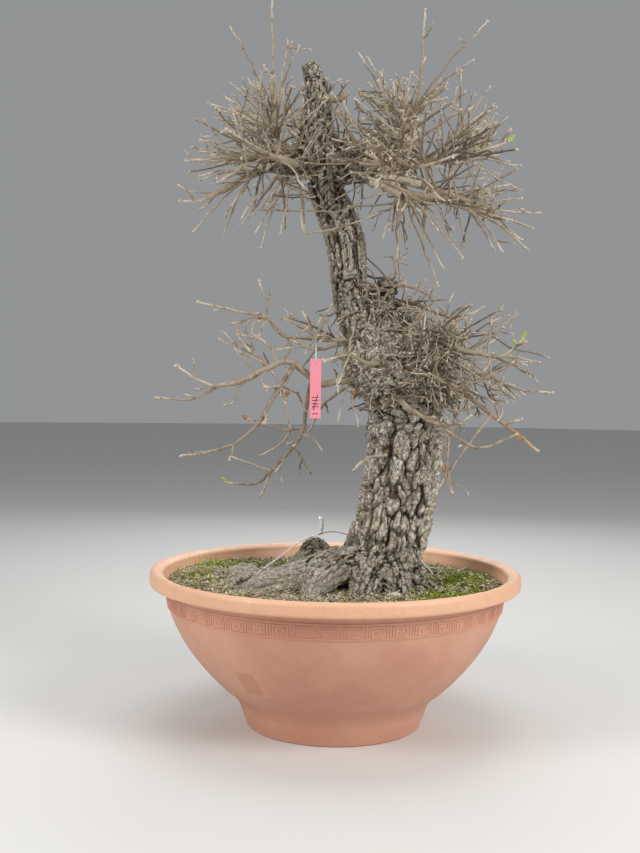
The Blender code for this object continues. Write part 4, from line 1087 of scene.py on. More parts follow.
def tag_place():
    """The spot on the twig where the label hangs, and the height of the label's hole."""
    twig = seen(*LIMBS["left_upper"][2][:3])
    return twig, twig.z - 0.040


def in_room(place):
    """Whether a place lies in the room the tree takes, clear of the label's face."""
    tag = tag_place()[0]
    if abs(place.x - tag.x) < 0.016 and tag.y - 0.09 < place.y < tag.y + 0.008 and 0.48 < place.z < 0.592:
        return False
    return -0.298 < place.x < 0.334 and abs(place.y) < 0.245 and 0.30 < place.z < 1.150


def wander(start, way, length, root, tip, rng, crook=0.20, lift=0.0, step=0.0105):
    """A crooked twig that grows from start along way, turning a little at each bud."""
    aim, way = way.normalized(), way.normalized()
    steps = max(3, round(length / step))
    path = [(start, root)]
    for k in range(1, steps + 1):
        bend = any_way(rng) * crook * (1.3 if k % 2 else 0.5)
        way = (way * 0.7 + aim * 0.3 + bend + Vector((0, 0, lift))).normalized()
        place = path[-1][0] + way * (length / steps)
        if not in_room(place):
            break
        swell = 1.12 if k % 2 else 0.94
        path.append((place, (root + (tip - root) * k / steps) * swell))
    return path


def sideways(ahead, rng):
    """A random direction square to another."""
    away = ahead.orthogonal().normalized()
    away.rotate(Matrix.Rotation(rng.uniform(0, 2 * math.pi), 3, ahead))
    return away


def laterals(bundle, buds, rng, path, tone, red, count, reach=(0.014, 0.050)):
    """Side twigs off a path, at the angles buds grow."""
    for _ in range(count):
        if len(path) < 4:
            return
        k = rng.randrange(1, len(path) - 1)
        start, radius = path[k]
        ahead = (path[k + 1][0] - path[k - 1][0]).normalized()
        away = sideways(ahead, rng)
        way = ahead * rng.uniform(0.5, 1.1) + away * rng.uniform(0.6, 1.1)
        small = wander(start, way, rng.uniform(*reach), radius * 0.85, radius * 0.62, rng, crook=0.22,
                       step=0.008)
        if len(small) > 2:
            bundle.add(small, (0.4, tone, red), (1.0, tone, red))
            add_buds(buds, small, rng, tone)


def pad_shoots(bundle, buds, rng, parents):
    """Fills each pad with straight shoots that radiate from its hubs, and some crooked ones between."""
    for centre, half, count, lean, hubs in PADS:
        middle = seen(*centre)
        sizes = Vector((half[0], half[2], half[1]))

        def depth_in(place):
            return Vector((place - middle)[k] / sizes[k] for k in range(3)).length

        stock = [(place, radius) for path in parents for place, radius in path if depth_in(place) < 0.95]
        near = KDTree(len(stock))
        for number, (place, _) in enumerate(stock):
            near.insert(place, number)
        near.balance()
        for _ in range(count):
            hub = seen(*hubs[rng.randrange(len(hubs))])
            straight = rng.random() < 0.72
            spread = 0.016 if straight else 0.040
            start, number, _ = near.find(hub + any_way(rng) * spread)
            thick = stock[number][1]
            way = (start - middle) * 4.5 + (start - hub) * 6.0 + any_way(rng) * 0.62
            way = (way + Vector((0, 0, lean))).normalized()
            if way.z < -0.30 and hub.z > 0.7 and rng.random() < (0.72 if centre[0] < 0 else 0.45):
                continue
            limit, far = rng.uniform(0.74, 1.08), 0.02
            while far < 0.15 and depth_in(start + way * far) < limit:
                far += 0.010
            if far < 0.030:
                far = rng.uniform(0.022, 0.045)
            root = min(0.0021, thick * 0.9) * rng.uniform(0.76, 1.0)
            crook = 0.055 if straight else 0.16
            path = wander(start, way, far, root, root * 0.74, rng, crook=crook, lift=0.012)
            if len(path) < 4:
                continue
            tone, red = rng.uniform(0.05, 1.0), rng.choice((0, 0, 0, 0, 0.18))
            bundle.add(path, (0.0, tone, red), (rng.uniform(0.7, 1.0), tone, red))
            add_buds(buds, path, rng, tone)
            laterals(bundle, buds, rng, path, tone, red, rng.choice((0, 0, 1, 1, 2)), (0.010, 0.034))


def burl_tangle(bundle, buds, rng):
    """Crooked dead twigs that spring from the swollen part of the trunk and cross over its bark."""
    counts = (100, 100, 66, 44, 66, 26, 14, 24, 18, 14, 10, 10)
    for (x, z, depth, radius), count in zip(BURLS, counts):
        for _ in range(count):
            out = any_way(rng)
            out.y -= 0.5
            out.normalize()
            start = seen(x, z, depth) + out * radius * 0.97
            along = out.cross(any_way(rng)).normalized()
            way = out * rng.uniform(0.15, 0.7) + along + Vector((0.15, 0, -0.05))
            low = rng.random() < 0.3
            path = wander(start, way, rng.uniform(0.022, 0.055 if low else 0.095),
                          rng.uniform(0.0012, 0.0020), 0.0011, rng, crook=0.22, lift=-0.03)
            if len(path) < 4:
                continue
            tone, red = rng.uniform(0.1, 1.0), rng.choice((0, 0, 0, 0.15))
            bundle.add(path, (0.0, tone, red), (0.9, tone, red))
            laterals(bundle, buds, rng, path, tone, red, rng.choice((0, 0, 1, 2)), (0.010, 0.035))


# crooked single shoots: points, radius at start and end in tenths of a millimetre, redness
EXTRA_SHOOTS = [(metres(points), first / 10000, last / 10000, red) for points, first, last, red in (
    ([(55, 928, -20), (20, 968, -30), (5, 1003, -36)], 20, 14, 0.1),
    ([(129, 874, -60), (98, 880, -66), (67, 889, -70)], 62, 50, 0.0),
    ([(95, 856, -70), (72, 868, -74), (52, 877, -76)], 55, 46, 0.0),
    ([(242, 530, -60), (262, 522, -66), (268, 506, -70), (260, 494, -72)], 18, 14, 0.2),
    ([(105, 640, -70), (128, 652, -82), (141, 667, -86), (139, 645, -90)], 18, 14, 0.1),
    ([(182, 470, -88), (181, 430, -92), (180, 402, -94), (188, 378, -96)], 19, 14, 0.1),
    ([(82, 436, -50), (50, 430, -62), (30, 412, -66)], 30, 22, 0.0),
    ([(-145, 556, -58), (-164, 540, -60), (-167, 520, -62), (-181, 515, -64)], 20, 15, 0.0),
    ([(-93, 546, -52), (-86, 525, -50), (-84, 504, -46), (-77, 480, -40)], 22, 15, 0.0),
    ([(-36, 626, -45), (-20, 634, -56), (-19, 643, -62)], 18, 14, 0.0),
    ([(-36, 626, -45), (-24, 655, -46), (-13, 676, -50)], 18, 14, 0.0),
    ([(-36, 626, -45), (-48, 646, -44), (-57, 664, -40)], 18, 14, 0.0),
    ([(-36, 626, -45), (-50, 612, -54), (-65, 610, -60), (-96, 605, -66)], 18, 14, 0.0),
    ([(-74, 477, 34), (-86, 457, 40), (-104, 444, 46), (-123, 433, 50)], 22, 15, 0.0),
    ([(-107, 407, 52), (-128, 414, 60), (-171, 430, 70)], 20, 14, 0.0),
    ([(-58, 468, 26), (-39, 461, 20), (-26, 445, 16)], 22, 15, 0.0),
    ([(20, 556, -40), (8, 524, -52), (2, 494, -56)], 18, 12, 0.0),
    ([(30, 545, -50), (24, 520, -58), (35, 486, -62)], 18, 12, 0.0),
    ([(-130, 566, -54), (-150, 586, -60), (-166, 604, -64)], 19, 14, 0.0),
    ([(-117, 658, -60), (-124, 640, -64), (-130, 624, -68)], 18, 14, 0.3),
    ([(-113, 576, -50), (-128, 592, -40), (-156, 606, -34), (-186, 632, -30)], 20, 14, 0.0),
    ([(-138, 600, -38), (-142, 622, -44), (-152, 634, -50), (-147, 650, -58)], 17, 13, 0.2),
    ([(-100, 582, -46), (-108, 606, -50), (-128, 622, -58), (-158, 628, -62)], 18, 13, 0.1),
    ([(-92, 584, -44), (-76, 612, -48), (-92, 634, -52), (-117, 658, -60)], 18, 14, 0.0),
    ([(-104, 528, -62), (-98, 556, -50), (-110, 574, -50)], 16, 13, 0.0),
    ([(-93, 546, -52), (-66, 534, -30), (-52, 506, -4)], 17, 14, 0.0),
    ([(-128, 831, -50), (-41, 830, -60), (4, 831, -62), (48, 855, -60), (80, 861, -50)], 17, 14, 0.0),
    ([(-55, 793, -50), (8, 806, -56), (68, 829, -60)], 16, 13, 0.0),
    ([(-135, 604, -50), (-160, 618, -56), (-176, 612, -60), (-192, 620, -62)], 15, 13, 0.3),
    ([(-150, 652, -58), (-166, 640, -60), (-160, 622, -66), (-146, 606, -70)], 15, 13, 0.3),
    ([(-118, 658, -60), (-136, 650, -64), (-140, 632, -68), (-120, 618, -66)], 15, 13, 0.2),
    ([(-128, 594, -44), (-118, 572, -52), (-124, 556, -60), (-116, 540, -66)], 16, 13, 0.0),
    ([(-86, 578, -44), (-78, 560, -52), (-94, 540, -58), (-86, 520, -60)], 16, 13, 0.0),
    ([(-96, 604, -50), (-70, 626, -56), (-52, 640, -60)], 15, 12, 0.0),
    ([(240, 568, 32), (268, 588, 20), (310, 590, 12)], 22, 15, 0.0),
    ([(175, 480, -88), (196, 486, -94), (215, 500, -100)], 20, 15, 0.0),
)]


def make_shoots():
    """The small wood in three pieces: outline shoots with their side twigs, filling shoots, and buds."""
    rng = random.Random(12)
    outline, filling, buds = Bundle(1), Bundle(0), Bundle(0)
    parents = [drawn(points, 0.012)[2:] for points in LIMBS.values()]
    named = named_shoots(outline, buds, rng)
    for points, first, last, red in EXTRA_SHOOTS:
        steps = [(seen(*point), first + (last - first) * k / (len(points) - 1))
                 for k, point in enumerate(points)]
        path = gnarled(smoothed(steps, 0.010), rng, 0.0007)
        tone = rng.uniform(0.5, 0.95)
        outline.add(path, (0.3, tone, red), (1.0, tone, red))
        add_buds(buds, path, rng, tone)
    for path in named:
        laterals(outline, buds, rng, path, rng.uniform(0.2, 0.9), 0.0, rng.choice((0, 0, 1, 1)))
    pad_shoots(filling, buds, rng, parents + named)
    burl_tangle(filling, buds, rng)
    for name, path in zip(LIMBS, parents):
        thin = [knot for knot in path if knot[1] < 0.0042]
        if name == "jin":
            continue
        few = name.startswith(("lower_left", "left_")) or name in ("right_low", "right_sweep", "right_front")
        share = 3 if name in ("lower_left", "left_upper", "left_middle") else 8 if few else 5
        laterals(outline, buds, rng, thin, rng.uniform(0.3, 0.9), 0.0, len(thin) // share,
                 (0.010, 0.030 if few else 0.045))
    return outline.mesh("tree_shoots"), filling.mesh("tree_twigs"), buds.mesh("tree_buds")


def make_tree():
    bark, twig = bark_finish(), twig_finish()
    trunk = rough_union()
    carve_bark(trunk)
    add_piece("tree_trunk", trunk, ["tree"], bark)
    add_piece("tree_limbs", make_limbs(), (), twig)
    for mesh in make_shoots():
        add_piece(mesh.name, mesh, (), twig)


# --- soil and what lies on it ---
MOSS = [  # name, bearing in degrees, share of the soil's radius, half-length, half-width, height
    ("moss_right", 4, 0.74, 0.062, 0.050, 0.014), ("moss_back_right", 50, 0.72, 0.060, 0.044, 0.013),
    ("moss_back", 98, 0.78, 0.060, 0.036, 0.011), ("moss_back_left", 140, 0.72, 0.062, 0.044, 0.012),
    ("moss_left", 184, 0.78, 0.050, 0.042, 0.010), ("moss_front_left", 232, 0.80, 0.056, 0.036, 0.009),
    ("moss_front_right", 332, 0.84, 0.046, 0.032, 0.010),
]
PEBBLES = [
    ("pebble_right", 352, 0.93, 0.0090), ("pebble_front", 292, 0.72, 0.0060),
    ("pebble_left", 204, 0.90, 0.0065), ("pebble_back", 75, 0.92, 0.0080),
    ("pebble_front_left", 255, 0.62, 0.0050),
]
# name, limb whose tip bears it, direction, length, width, whether it is dry
LEAVES = [
    ("leaf_right", "right_main", (0.4, -0.2, 0.9), 0.016, 0.008, False),
    ("leaf_crown", "crown_right", (0.7, -0.2, 0.6), 0.015, 0.008, False),
    ("leaf_left", "left_hanging_low", (-0.7, -0.1, 0.7), 0.014, 0.006, False),
    ("leaf_dry_right", "right_low", (0.8, 0.1, -0.4), 0.018, 0.009, True),
    ("leaf_dry_left", "left_hanging_side", (-0.9, 0.1, 0.4), 0.016, 0.008, True),
]

SMALL_LEAVES = [  # front point (x, z, depth), direction, length, finish
    ((0.180, 0.405, -0.090), (-0.3, -0.3, 0.9), 0.019, "dry"),
    ((-0.086, 0.528, -0.050), (0.6, -0.3, 0.7), 0.014, "dry"),
    ((0.025, 0.532, -0.055), (0.3, -0.6, 0.6), 0.012, "dry"),
    ((0.219, 0.926, -0.033), (-0.2, -0.3, 0.9), 0.012, "leaf"),
    ((0.226, 0.929, -0.033), (0.5, -0.5, 0.6), 0.010, "leaf"),
    ((0.290, 0.618, -0.062), (-0.6, -0.2, 0.7), 0.011, "leaf"),
]


def soil_level(radius):
    return SOIL_EDGE + SOIL_MOUND * (1 - (radius / SEAT) ** 2)


def on_soil(bearing, share, outer, up=0.0):
    reach = min(share * SEAT, SEAT - outer - 0.0012)
    angle = math.radians(bearing)
    return Vector((reach * math.cos(angle), reach * math.sin(angle), soil_level(reach))) + Vector((0, 0, up))


def soil_relief(spots):
    """The ground's small hills over its even mound, for rows of (x, y, any)."""
    flat = spots * [1.0, 1.0, 0.0]
    reach = np.linalg.norm(flat, axis=1)
    hills = waves(flat * 26 + 3.3, 5) * 0.0028 + waves(flat * 70, 6) * 0.0012 + waves(flat * 180, 8) * 0.0007
    heap = 0.0075 * smooth_step(-0.12, -0.22, flat[:, 0]) + 0.003 * smooth_step(0.16, 0.23, flat[:, 0])
    return heap + (hills - 0.0008) * smooth_step(SEAT, SEAT - 0.012, reach)


def ground_height(spots):
    reach = np.linalg.norm(spots[:, :2], axis=1)
    return soil_level(reach) + soil_relief(spots)


def moss_cover(spots):
    """How densely moss grows at rows of (x, y): thick on the right and behind, in patches on the left."""
    bearing = np.degrees(np.arctan2(spots[:, 1], spots[:, 0])) % 360
    flat = np.concatenate([spots[:, :2], np.zeros((len(spots), 1))], axis=1)
    patchy = waves(flat * 22 + 1.7, 91) * 0.6 + waves(flat * 60, 92) * 0.4
    rich = np.where((bearing < 158) | (bearing > 296), 0.66, 0.22)
    reach = np.linalg.norm(spots[:, :2], axis=1)
    return rich + patchy * 0.55 + 0.12 * smooth_step(0.15, 0.24, reach)


def scattered(rng, count, keep, inner=0.0, outer=SEAT - 0.004):
    """Random spots on the ground where keep allows."""
    turn = rng.uniform(0, 2 * np.pi, count)
    reach = np.sqrt(rng.uniform(inner ** 2, outer ** 2, count))
    spots = np.stack([reach * np.cos(turn), reach * np.sin(turn), np.zeros(count)], axis=1)
    chosen = spots[keep(spots)]
    chosen[:, 2] = ground_height(chosen)
    return chosen


def small_shape(kind):
    """Small templates, one unit long or high: grain, strip, sprig or blade."""
    shape = bmesh.new()
    if kind == "grain":
        bmesh.ops.create_icosphere(shape, subdivisions=1, radius=0.5)
        for vertex in shape.verts:
            vertex.co *= 0.8 + 0.35 * ((vertex.index * 37) % 11) / 11
    elif kind == "strip":
        rows = [(-0.5, 0.0, 0.03), (-0.15, 0.10, 0.07), (0.2, 0.13, 0.06), (0.5, 0.02, 0.02)]
        pairs = [(shape.verts.new((x, -half, up)), shape.verts.new((x, half, up))) for x, up, half in rows]
        for (a, b), (c, d) in zip(pairs, pairs[1:]):
            shape.faces.new((a, c, d, b))
    elif kind == "blade":
        rows = [(0.0, 0.0, 0.035), (0.45, 0.06, 0.032), (0.8, 0.20, 0.02)]
        pairs = [(shape.verts.new((-half, out, up)), shape.verts.new((half, out, up)))
                 for up, out, half in rows]
        for (a, b), (c, d) in zip(pairs, pairs[1:]):
            shape.faces.new((a, b, d, c))
        tip = shape.verts.new((0, 0.36, 1.0))
        shape.faces.new((*pairs[-1], tip))
    else:
        for k in range(7):
            turn = Matrix.Rotation(k * 2.4, 3, "Z")
            lean, up = (0.18, 1.0) if k == 0 else (0.55, 0.62 + 0.05 * (k % 3))
            foot = [shape.verts.new(turn @ Vector((side, 0.02, 0.0))) for side in (-0.09, 0.09)]
            waist = [shape.verts.new(turn @ Vector((side, lean * 0.6, up * 0.6))) for side in (0.13, -0.13)]
            tip = shape.verts.new(turn @ Vector((0, lean, up)))
            shape.faces.new((*foot, *waist))
            shape.faces.new((waist[1], waist[0], tip))
    return mesh_from(shape, kind, smooth=False)


def ground_ups(rng, count, tilt):
    ways = np.stack([rng.normal(0, tilt, count), rng.normal(0, tilt, count), np.ones(count)], axis=1)
    return turns_to(ways, rng.uniform(0, 2 * np.pi, count))


def sizes_of(rng, count, low, high, flat=1.0):
    size = rng.uniform(low, high, (count, 1)) * np.array([[1.0, 1.0, flat]])
    return size * rng.uniform(0.8, 1.2, (count, 3))


def lump(name, centre, sizes, turn, fineness):
    """An ellipsoid's mesh and its points."""
    shape = bmesh.new()
    bmesh.ops.create_icosphere(shape, subdivisions=fineness, radius=1.0)
    moved(shape, shape.verts, sizes, turn, "Z", centre)
    mesh = mesh_from(shape, name)
    return mesh, points_of(mesh)


def strew(rng, name, kind, spots, tilt, sizes, tones, finish):
    """Sets a small shape on every spot. Sizes and tones are rows, or a tuple to draw them from."""
    ups = ground_ups(rng, len(spots), tilt)
    if isinstance(sizes, tuple):
        sizes = sizes_of(rng, len(spots), *sizes)
    if isinstance(tones, tuple):
        tones = rng.uniform(*tones, (len(spots), 3))
    add_piece(name, stamped(name, small_shape(kind), spots, ups, sizes, tones), (), finish)


def make_ground(finishes):
    rng = np.random.default_rng(4)
    steps = 96
    top = [(SEAT * k / steps, soil_level(SEAT * k / steps)) for k in range(steps + 1)]
    wall = [(bowl_radius(z) - WALL - 0.0003, z) for z in (0.190, 0.150, 0.110, 0.075, 0.047)]
    shape = turned_shape(top + wall + [(0.147, 0.036), (0.1358, 0.0122), (0.0, 0.0122)], 288)
    mesh = mesh_from(shape, "soil_body")
    points = points_of(mesh)
    on_top = points[:, 2] > soil_level(np.minimum(np.linalg.norm(points[:, :2], axis=1), SEAT)) - 0.0004
    points[:, 2] += np.where(on_top, soil_relief(points), 0)
    set_points(mesh, points)
    cover = moss_cover(points)
    paint(mesh, smooth_step(0.25, 0.75, cover), 0.5 + 0.5 * waves(points * 90, 12))
    add_piece("soil_body", mesh, ["soil"], finishes["earth"])

    spots = scattered(rng, 9000, lambda at: moss_cover(at) < rng.uniform(0.05, 0.75, len(at)))
    strew(rng, "soil_grains", "grain", spots, 0.6, (0.0016, 0.0046, 0.7), (0, 1), finishes["grain"])

    spots = scattered(rng, 24000, lambda at: moss_cover(at) < rng.uniform(0.1, 1.05, len(at)))
    spots[:, 2] += rng.uniform(0.0010, 0.0060, len(spots)) + 0.0020 * (moss_cover(spots) > 0.6)
    strew(rng, "soil_litter", "strip", spots, 0.35, (0.005, 0.014), (0, 1), finishes["litter"])

    spots = scattered(rng, 5600, lambda at: rng.uniform(0, 1, len(at)) < 1.15 - moss_cover(at), 0.03)
    spots[:, 2] += rng.uniform(0.0015, 0.0075, len(spots))
    spots[:, 2] += 0.002 * (moss_cover(spots) > 0.6)
    strew(rng, "bark_crumbs", "grain", spots, 0.5, (0.0035, 0.0085, 0.45), (0.2, 1),
          finishes["grain"])


def moss_lump(name, bearing, share, length, width, height, rng, finish):
    """A low cushion, its skin closed and bumpy, covered with sprigs."""
    centre = on_soil(bearing, share, width)
    mesh, points = lump(name, centre, (width, length, height * 0.6), math.radians(bearing), 5)
    points[:, 2] += soil_relief(points)
    bumps = waves(points * 60, 61) * 0.0022 + waves(points * 170, 62) * 0.0010
    points += bumps[:, None] * [0.3, 0.3, 1]
    reach = np.linalg.norm(points[:, :2], axis=1)
    points[:, :2] *= np.minimum(1, (SEAT - 0.0015) / reach)[:, None]
    floor = ground_height(points) - 0.003
    points[:, 2] = np.maximum(points[:, 2] - 0.0025, floor)
    set_points(mesh, points)
    paint(mesh, 0.25 + 0.3 * waves(points * 120, 63), 0.2)
    add_piece(name + "_cushion", mesh, [name], finish)
    roots = points[(points[:, 2] > floor + 0.0022)]
    roots = roots[rng.integers(0, len(roots), 2600)] + rng.normal(0, 0.0010, (2600, 3)) * [1, 1, 0.2]
    reach = np.linalg.norm(roots[:, :2], axis=1)
    roots = roots[reach < SEAT - 0.003]
    tones = np.clip(0.45 + 0.4 * waves(roots * 70, 64) + rng.normal(0, 0.2, len(roots)), 0, 1)
    strew(rng, name + "_sprigs", "sprig", roots, 0.35, (0.0022, 0.0046), np.stack([tones] * 3, axis=1),
          finish)


def make_moss(finishes):
    rng = np.random.default_rng(8)
    finish = finishes["moss"]
    for row in MOSS:
        moss_lump(*row, rng, finish)
    for name, count in (("moss_carpet_fine", 17000), ("moss_carpet_tall", 9000)):
        spots = scattered(rng, count, lambda at: moss_cover(at) > rng.uniform(0.30, 0.90, len(at)))
        spots[:, 2] -= 0.0004
        tall = (0.0060, 0.0110) if name.endswith("tall") else (0.0024, 0.0052)
        tones = np.clip(0.5 + 0.35 * waves(spots * 50, 65) + rng.normal(0, 0.2, len(spots)), 0, 1)
        strew(rng, name, "sprig", spots, 0.3, tall, np.stack([tones] * 3, axis=1), finish)
    left = scattered(rng, 700, lambda at: (at[:, 0] < -0.17) & (at[:, 1] > -0.12), 0.20)[:90]
    right = scattered(rng, 2600, lambda at: (moss_cover(at) > 0.8), 0.10)[:420]
    spots = np.concatenate([left, right])
    sizes = np.concatenate([sizes_of(rng, len(left), 0.014, 0.030), sizes_of(rng, len(right), 0.006, 0.014)])
    strew(rng, "grass_blades", "blade", spots, 0.45, sizes, (0.3, 1), finish)


def rough_lump(name, centre, sizes, turn, bumps, seed):
    mesh, points = lump(name, centre, sizes, turn, 4)
    middle = np.array(centre)
    swell = 1 + waves(points * (0.9 / sizes[0]), seed) * bumps
    swell += waves(points * (2.6 / sizes[0]), seed + 1) * bumps * 0.4
    set_points(mesh, middle + (points - middle) * swell[:, None])
    paint(mesh, 0.5 + 0.5 * waves(points * 300, seed + 2), 0.5)
    return mesh


def make_stones(finishes):
    for number, (name, bearing, share, size) in enumerate(PEBBLES):
        place = on_soil(bearing, share, size * 1.3, size * 0.35)
        mesh = rough_lump(name + "_stone", place, (size * 1.2, size * 0.92, size * 0.72),
                          math.radians(bearing * 2), 0.14, 20 + 5 * number)
        add_piece(mesh.name, mesh, [name], finishes["stone"])
    place = on_soil(303, 0.60, 0.02, 0.004)
    flake = rough_lump("flake_chip", place, (0.014, 0.0068, 0.0058), math.radians(20), 0.30, 77)
    add_piece("flake_chip", flake, ["bark_flake"], finishes["chip"])


def leaf_mesh(name, base, direction, length, width):
    """A lobed blade with a folded midrib and a curled tip."""
    shape = bmesh.new()
    rows, columns = 18, 8
    grid = []
    for r in range(rows + 1):
        t = r / rows
        lobes = 1 + 0.20 * math.sin(t * math.pi * 7)
        half = max(width * 0.5 * math.sin(math.pi * min(t * 0.96 + 0.03, 1)) ** 0.8 * lobes, 0.0003)
        line = []
        for c in range(columns + 1):
            side = c / columns * 2 - 1
            fold = abs(side) * half * 0.35
            line.append(shape.verts.new((side * half, fold + length * 0.16 * t * t, t * length)))
        grid.append(line)
    for low, high in zip(grid, grid[1:]):
        for c in range(columns):
            shape.faces.new((low[c], low[c + 1], high[c + 1], high[c]))
    ahead = Vector(direction).normalized()
    turn = Vector((0, 0, 1)).rotation_difference(ahead).to_matrix()
    bmesh.ops.rotate(shape, matrix=turn, verts=shape.verts)
    moved(shape, shape.verts, shift=base)
    mesh = mesh_from(shape, name)
    piece = linked(name, mesh)
    thicken(piece, 0.0003)
    result = evaluated(piece)
    bpy.data.objects.remove(piece)
    bpy.data.meshes.remove(mesh)
    result.name = name
    points = points_of(result)
    paint(result, 0.5 + 0.5 * waves(points * 400, 3), 0.5)
    return result


def make_leaves(finishes):
    for name, limb, direction, length, width, dry in LEAVES:
        before, tip = [seen(*point[:3]) for point in LIMBS[limb][-2:]]
        base = tip + (tip - before).normalized() * 0.0002
        mesh = leaf_mesh(name + "_blade", base, direction, length, width)
        add_piece(mesh.name, mesh, [name],
               finishes["dry" if dry else "leaf"])
    for number, (at, way, length, kind) in enumerate(SMALL_LEAVES):
        mesh = leaf_mesh(f"small_leaf_{number + 1}", seen(*at), way, length, length * 0.5)
        add_piece(mesh.name, mesh, (), finishes[kind])
    flat = on_soil(303, 0.84, 0.02, 0.0022)
    turn = Matrix.Rotation(0.4, 3, "Z") @ Vector((1, 0, 0.06))
    mesh = leaf_mesh("leaf_fallen_blade", flat - turn * 0.011, turn, 0.022, 0.014)
    add_piece(mesh.name, mesh, ["leaf_fallen"], finishes["dry"])


# --- wires, label and drains ---
def tie_wire_paths():
    """The two strands of the tie wire: twisted together at the top, then one leg each into the soil."""
    foot, head = seen(-0.0245, 0.3060, 0.048), seen(-0.0240, 0.3325, 0.047)
    legs = [[(-0.050, 0.297, 0.053), (-0.071, 0.283, 0.058), (-0.093, 0.265, 0.062), (-0.116, 0.248, 0.065),
             (-0.139, 0.233, 0.068), (-0.146, 0.210, 0.069)],
            [(-0.004, 0.3095, 0.058), (0.020, 0.305, 0.068), (0.060, 0.295, 0.077), (0.110, 0.284, 0.080),
             (0.150, 0.254, 0.074), (0.170, 0.225, 0.070), (0.172, 0.205, 0.070)]]
    paths = []
    for number, leg in enumerate(legs):
        twist = []
        for k in range(61):
            t = k / 60
            turn = number * math.pi + t * 2 * math.pi * 3.5
            loose = 0.00205 + 0.0007 * max(0.0, t - 0.92) / 0.08
            centre = foot.lerp(head, t) + Vector((0.0012 * math.sin(3.0 * t), 0, 0))
            twist.append((centre + Vector((math.cos(turn), math.sin(turn), 0)) * loose, 0.00190))
        run = smoothed([(twist[0][0], 0.00100)] + [(seen(*point), WIRE_RADIUS) for point in leg], 0.004)
        paths.append(list(reversed(run[1:])) + twist)
    return paths


def make_wires(finishes):
    bundle = Bundle(3)
    for path in tie_wire_paths():
        bundle.add(path, (0.5, 0.5, 0), (0.5, 0.5, 0))
    add_piece("tie_wire", bundle.mesh("tie_wire"), ["anchor_wire"], finishes["wire"])
    twig, hole = tag_place()
    bundle = Bundle(2)
    loop = [(0.0036 * math.cos(a), 0.0036 * math.sin(a)) for a in np.linspace(-0.4, math.pi + 0.4, 14)]
    spine = [(twig + Vector((0, across, up)), 0.00045) for across, up in loop]
    spine = [(Vector((twig.x + 0.0006, twig.y + 0.0011, hole + 0.0010)), 0.00045)] + spine
    spine += [(Vector((twig.x - 0.0004, twig.y - 0.0012, hole + 0.0012)), 0.00045),
              (Vector((twig.x, twig.y, hole + 0.0004)), 0.00045)]
    bundle.add(spine, (0.5, 0.5, 0), (0.5, 0.5, 0))
    add_piece("label_wire", bundle.mesh("label_wire"), ["tag_wire"], finishes["wire"])


def make_tag(finishes):
    """A pink plastic label with a punched hole and a few plain pen marks."""
    twig, hole = tag_place()
    middle = Vector((twig.x, twig.y, hole + 0.006 - 0.04725))
    shape = bmesh.new()
    bmesh.ops.create_grid(shape, x_segments=14, y_segments=60, size=0.5)
    wide, tall = TAG_SIZE
    moved(shape, shape.verts, (wide, tall, 1), math.radians(90), "X")
    for vertex in shape.verts:
        vertex.co.y = -0.0006 * math.cos(vertex.co.x / wide * math.pi) + 0.0016 * (vertex.co.z / tall) ** 2
    moved(shape, shape.verts, shift=middle)
    sheet = linked("label", mesh_from(shape, "label"))
    thicken(sheet, TAG_SHEET)
    mesh = drilled(sheet, 0.0018, 0.01,
                   Matrix.Translation((twig.x, twig.y, hole)) @ Matrix.Rotation(math.pi / 2, 4, "X"))
    mesh.name = "label"
    bpy.data.objects.remove(sheet)
    paint(mesh, 0.5)
    mesh.set_sharp_from_angle(angle=math.radians(40))
    add_piece("label", mesh, ["tag"], finishes["tag"])
    bundle = Bundle(0)
    for up, slant in ((-0.014, 0.0), (-0.019, 0.0006), (-0.024, -0.0004), (-0.029, 0.0004)):
        ends = [Vector((-0.0052, 0, up)), Vector((0.0050, 0, up + slant))]
        bundle.add([(middle + end + Vector((0, -0.00082, 0)), 0.00062) for end in ends])
    ends = [Vector((-0.0030, 0, -0.0335)), Vector((0.0036, 0, -0.0100))]
    bundle.add([(middle + end + Vector((0, -0.00084, 0)), 0.00062) for end in ends])
    bundle.add([(middle + Vector((x, -0.00082, -0.040)), 0.0006) for x in (-0.0048, 0.0044)])
    mesh = bundle.mesh("label_marks")
    points = points_of(mesh)
    level = middle.y - 0.00082
    points[:, 1] = level + (points[:, 1] - level) * 0.3
    set_points(mesh, points)
    add_piece("label_marks", mesh, (), finishes["ink"])


def make_drains(finishes):
    """Woven squares over the six drain holes."""
    for k, (x, y) in enumerate(drain_places()):
        shape = bmesh.new()
        for line in range(-6, 7):
            for along in (0, 1):
                bar = bmesh.ops.create_cube(shape, size=1.0)["verts"]
                sizes = (0.0296, 0.0008, 0.0005) if along else (0.0008, 0.0296, 0.0005)
                shift = (0, line * 0.0024, 0.0002) if along else (line * 0.0024, 0, -0.0002)
                moved(shape, bar, sizes, shift=shift)
        moved(shape, shape.verts, shift=(x, y, 0.0118))
        name = f"drain_weave_{k + 1}"
        add_piece(name, mesh_from(shape, name, smooth=False), [f"drain_mesh_{k + 1}"],
               finishes["weave"])


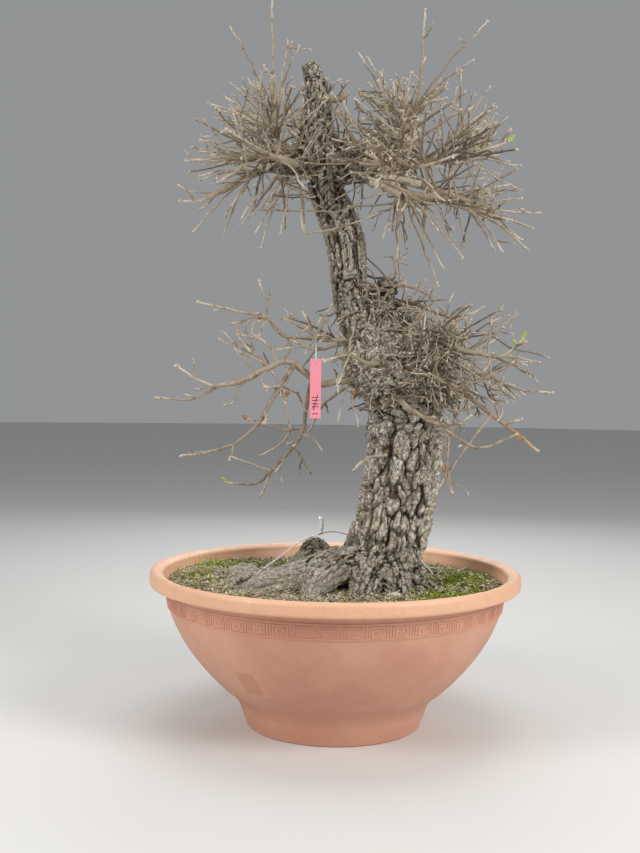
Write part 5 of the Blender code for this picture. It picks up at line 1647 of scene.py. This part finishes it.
def make_finishes():
    """Finish by key: name, (dark, light, fleck) colours, then toned_finish's numbers in their order."""
    return {key: toned_finish(*row) for key, row in {
        "earth": ("earth", ((0.115, 0.085, 0.055), (0.060, 0.070, 0.018),
            (0.045, 0.032, 0.020)), 500.0, 0.5, 0.95, 0.8, 0.002, 0.15),
        "grain": ("soil_grain", ((0.16, 0.115, 0.075), (0.62, 0.54, 0.41),
            (0.08, 0.055, 0.035)), 700.0, 0.35, 0.92, 0.6, 0.0008, 0.15),
        "litter": ("dry_litter", ((0.25, 0.19, 0.105), (0.76, 0.68, 0.50),
            (0.16, 0.11, 0.06)), 900.0, 0.30, 0.85, 0.4, 0.0004, 0.2),
        "moss": ("moss", ((0.090, 0.115, 0.018), (0.480, 0.540, 0.075),
            (0.045, 0.060, 0.010)), 900.0, 0.30, 0.80, 0.3, 0.0004, 0.25, 0.05),
        "stone": ("stone", ((0.48, 0.45, 0.40), (0.66, 0.63, 0.57),
            (0.25, 0.23, 0.20)), 350.0, 0.30, 0.75, 0.5, 0.0008, 0.35),
        "chip": ("weathered_wood", ((0.42, 0.35, 0.26), (0.78, 0.72, 0.62),
            (0.16, 0.115, 0.075)), 420.0, 0.45, 0.85, 0.9, 0.0016, 0.25),
        "leaf": ("green_leaf", ((0.20, 0.32, 0.04), (0.42, 0.52, 0.09),
            (0.12, 0.20, 0.03)), 600.0, 0.30, 0.55, 0.3, 0.0004, 0.4, 0.1),
        "dry": ("dry_leaf", ((0.26, 0.11, 0.045), (0.55, 0.33, 0.16),
            (0.12, 0.055, 0.03)), 600.0, 0.35, 0.70, 0.4, 0.0005, 0.3),
        # wire: near-white, almost non-metallic colour, partly the zinc coat's light grey, partly painted
        # sheen in place of its bright reflections
        "wire": ("galvanised_wire", ((0.86, 0.87, 0.89), (0.95, 0.96, 0.97),
            (0.42, 0.42, 0.42)), 900.0, 0.30, 0.42, 0.2, 0.0002, 0.6, 0.0, 0.05),
        "tag": ("pink_plastic", ((0.83, 0.265, 0.335), (0.87, 0.315, 0.385),
            (0.75, 0.18, 0.25)), 300.0, 0.12, 0.42, 0.15, 0.0003, 0.5),
        "ink": ("pen_ink", ((0.018, 0.014, 0.030), (0.040, 0.030, 0.055),
            (0.10, 0.06, 0.09)), 900.0, 0.30, 0.60, 0.2, 0.0002, 0.3),
        "weave": ("drain_plastic", ((0.020, 0.020, 0.022), (0.035, 0.035, 0.038),
            (0.06, 0.06, 0.06)), 600.0, 0.2, 0.55, 0.2, 0.0003, 0.4),
    }.items()}


set_camera()
set_studio()
make_pot()
make_tree()
FINISHES = make_finishes()
for make in (make_ground, make_moss, make_stones, make_leaves, make_wires, make_tag, make_drains):
    make(FINISHES)
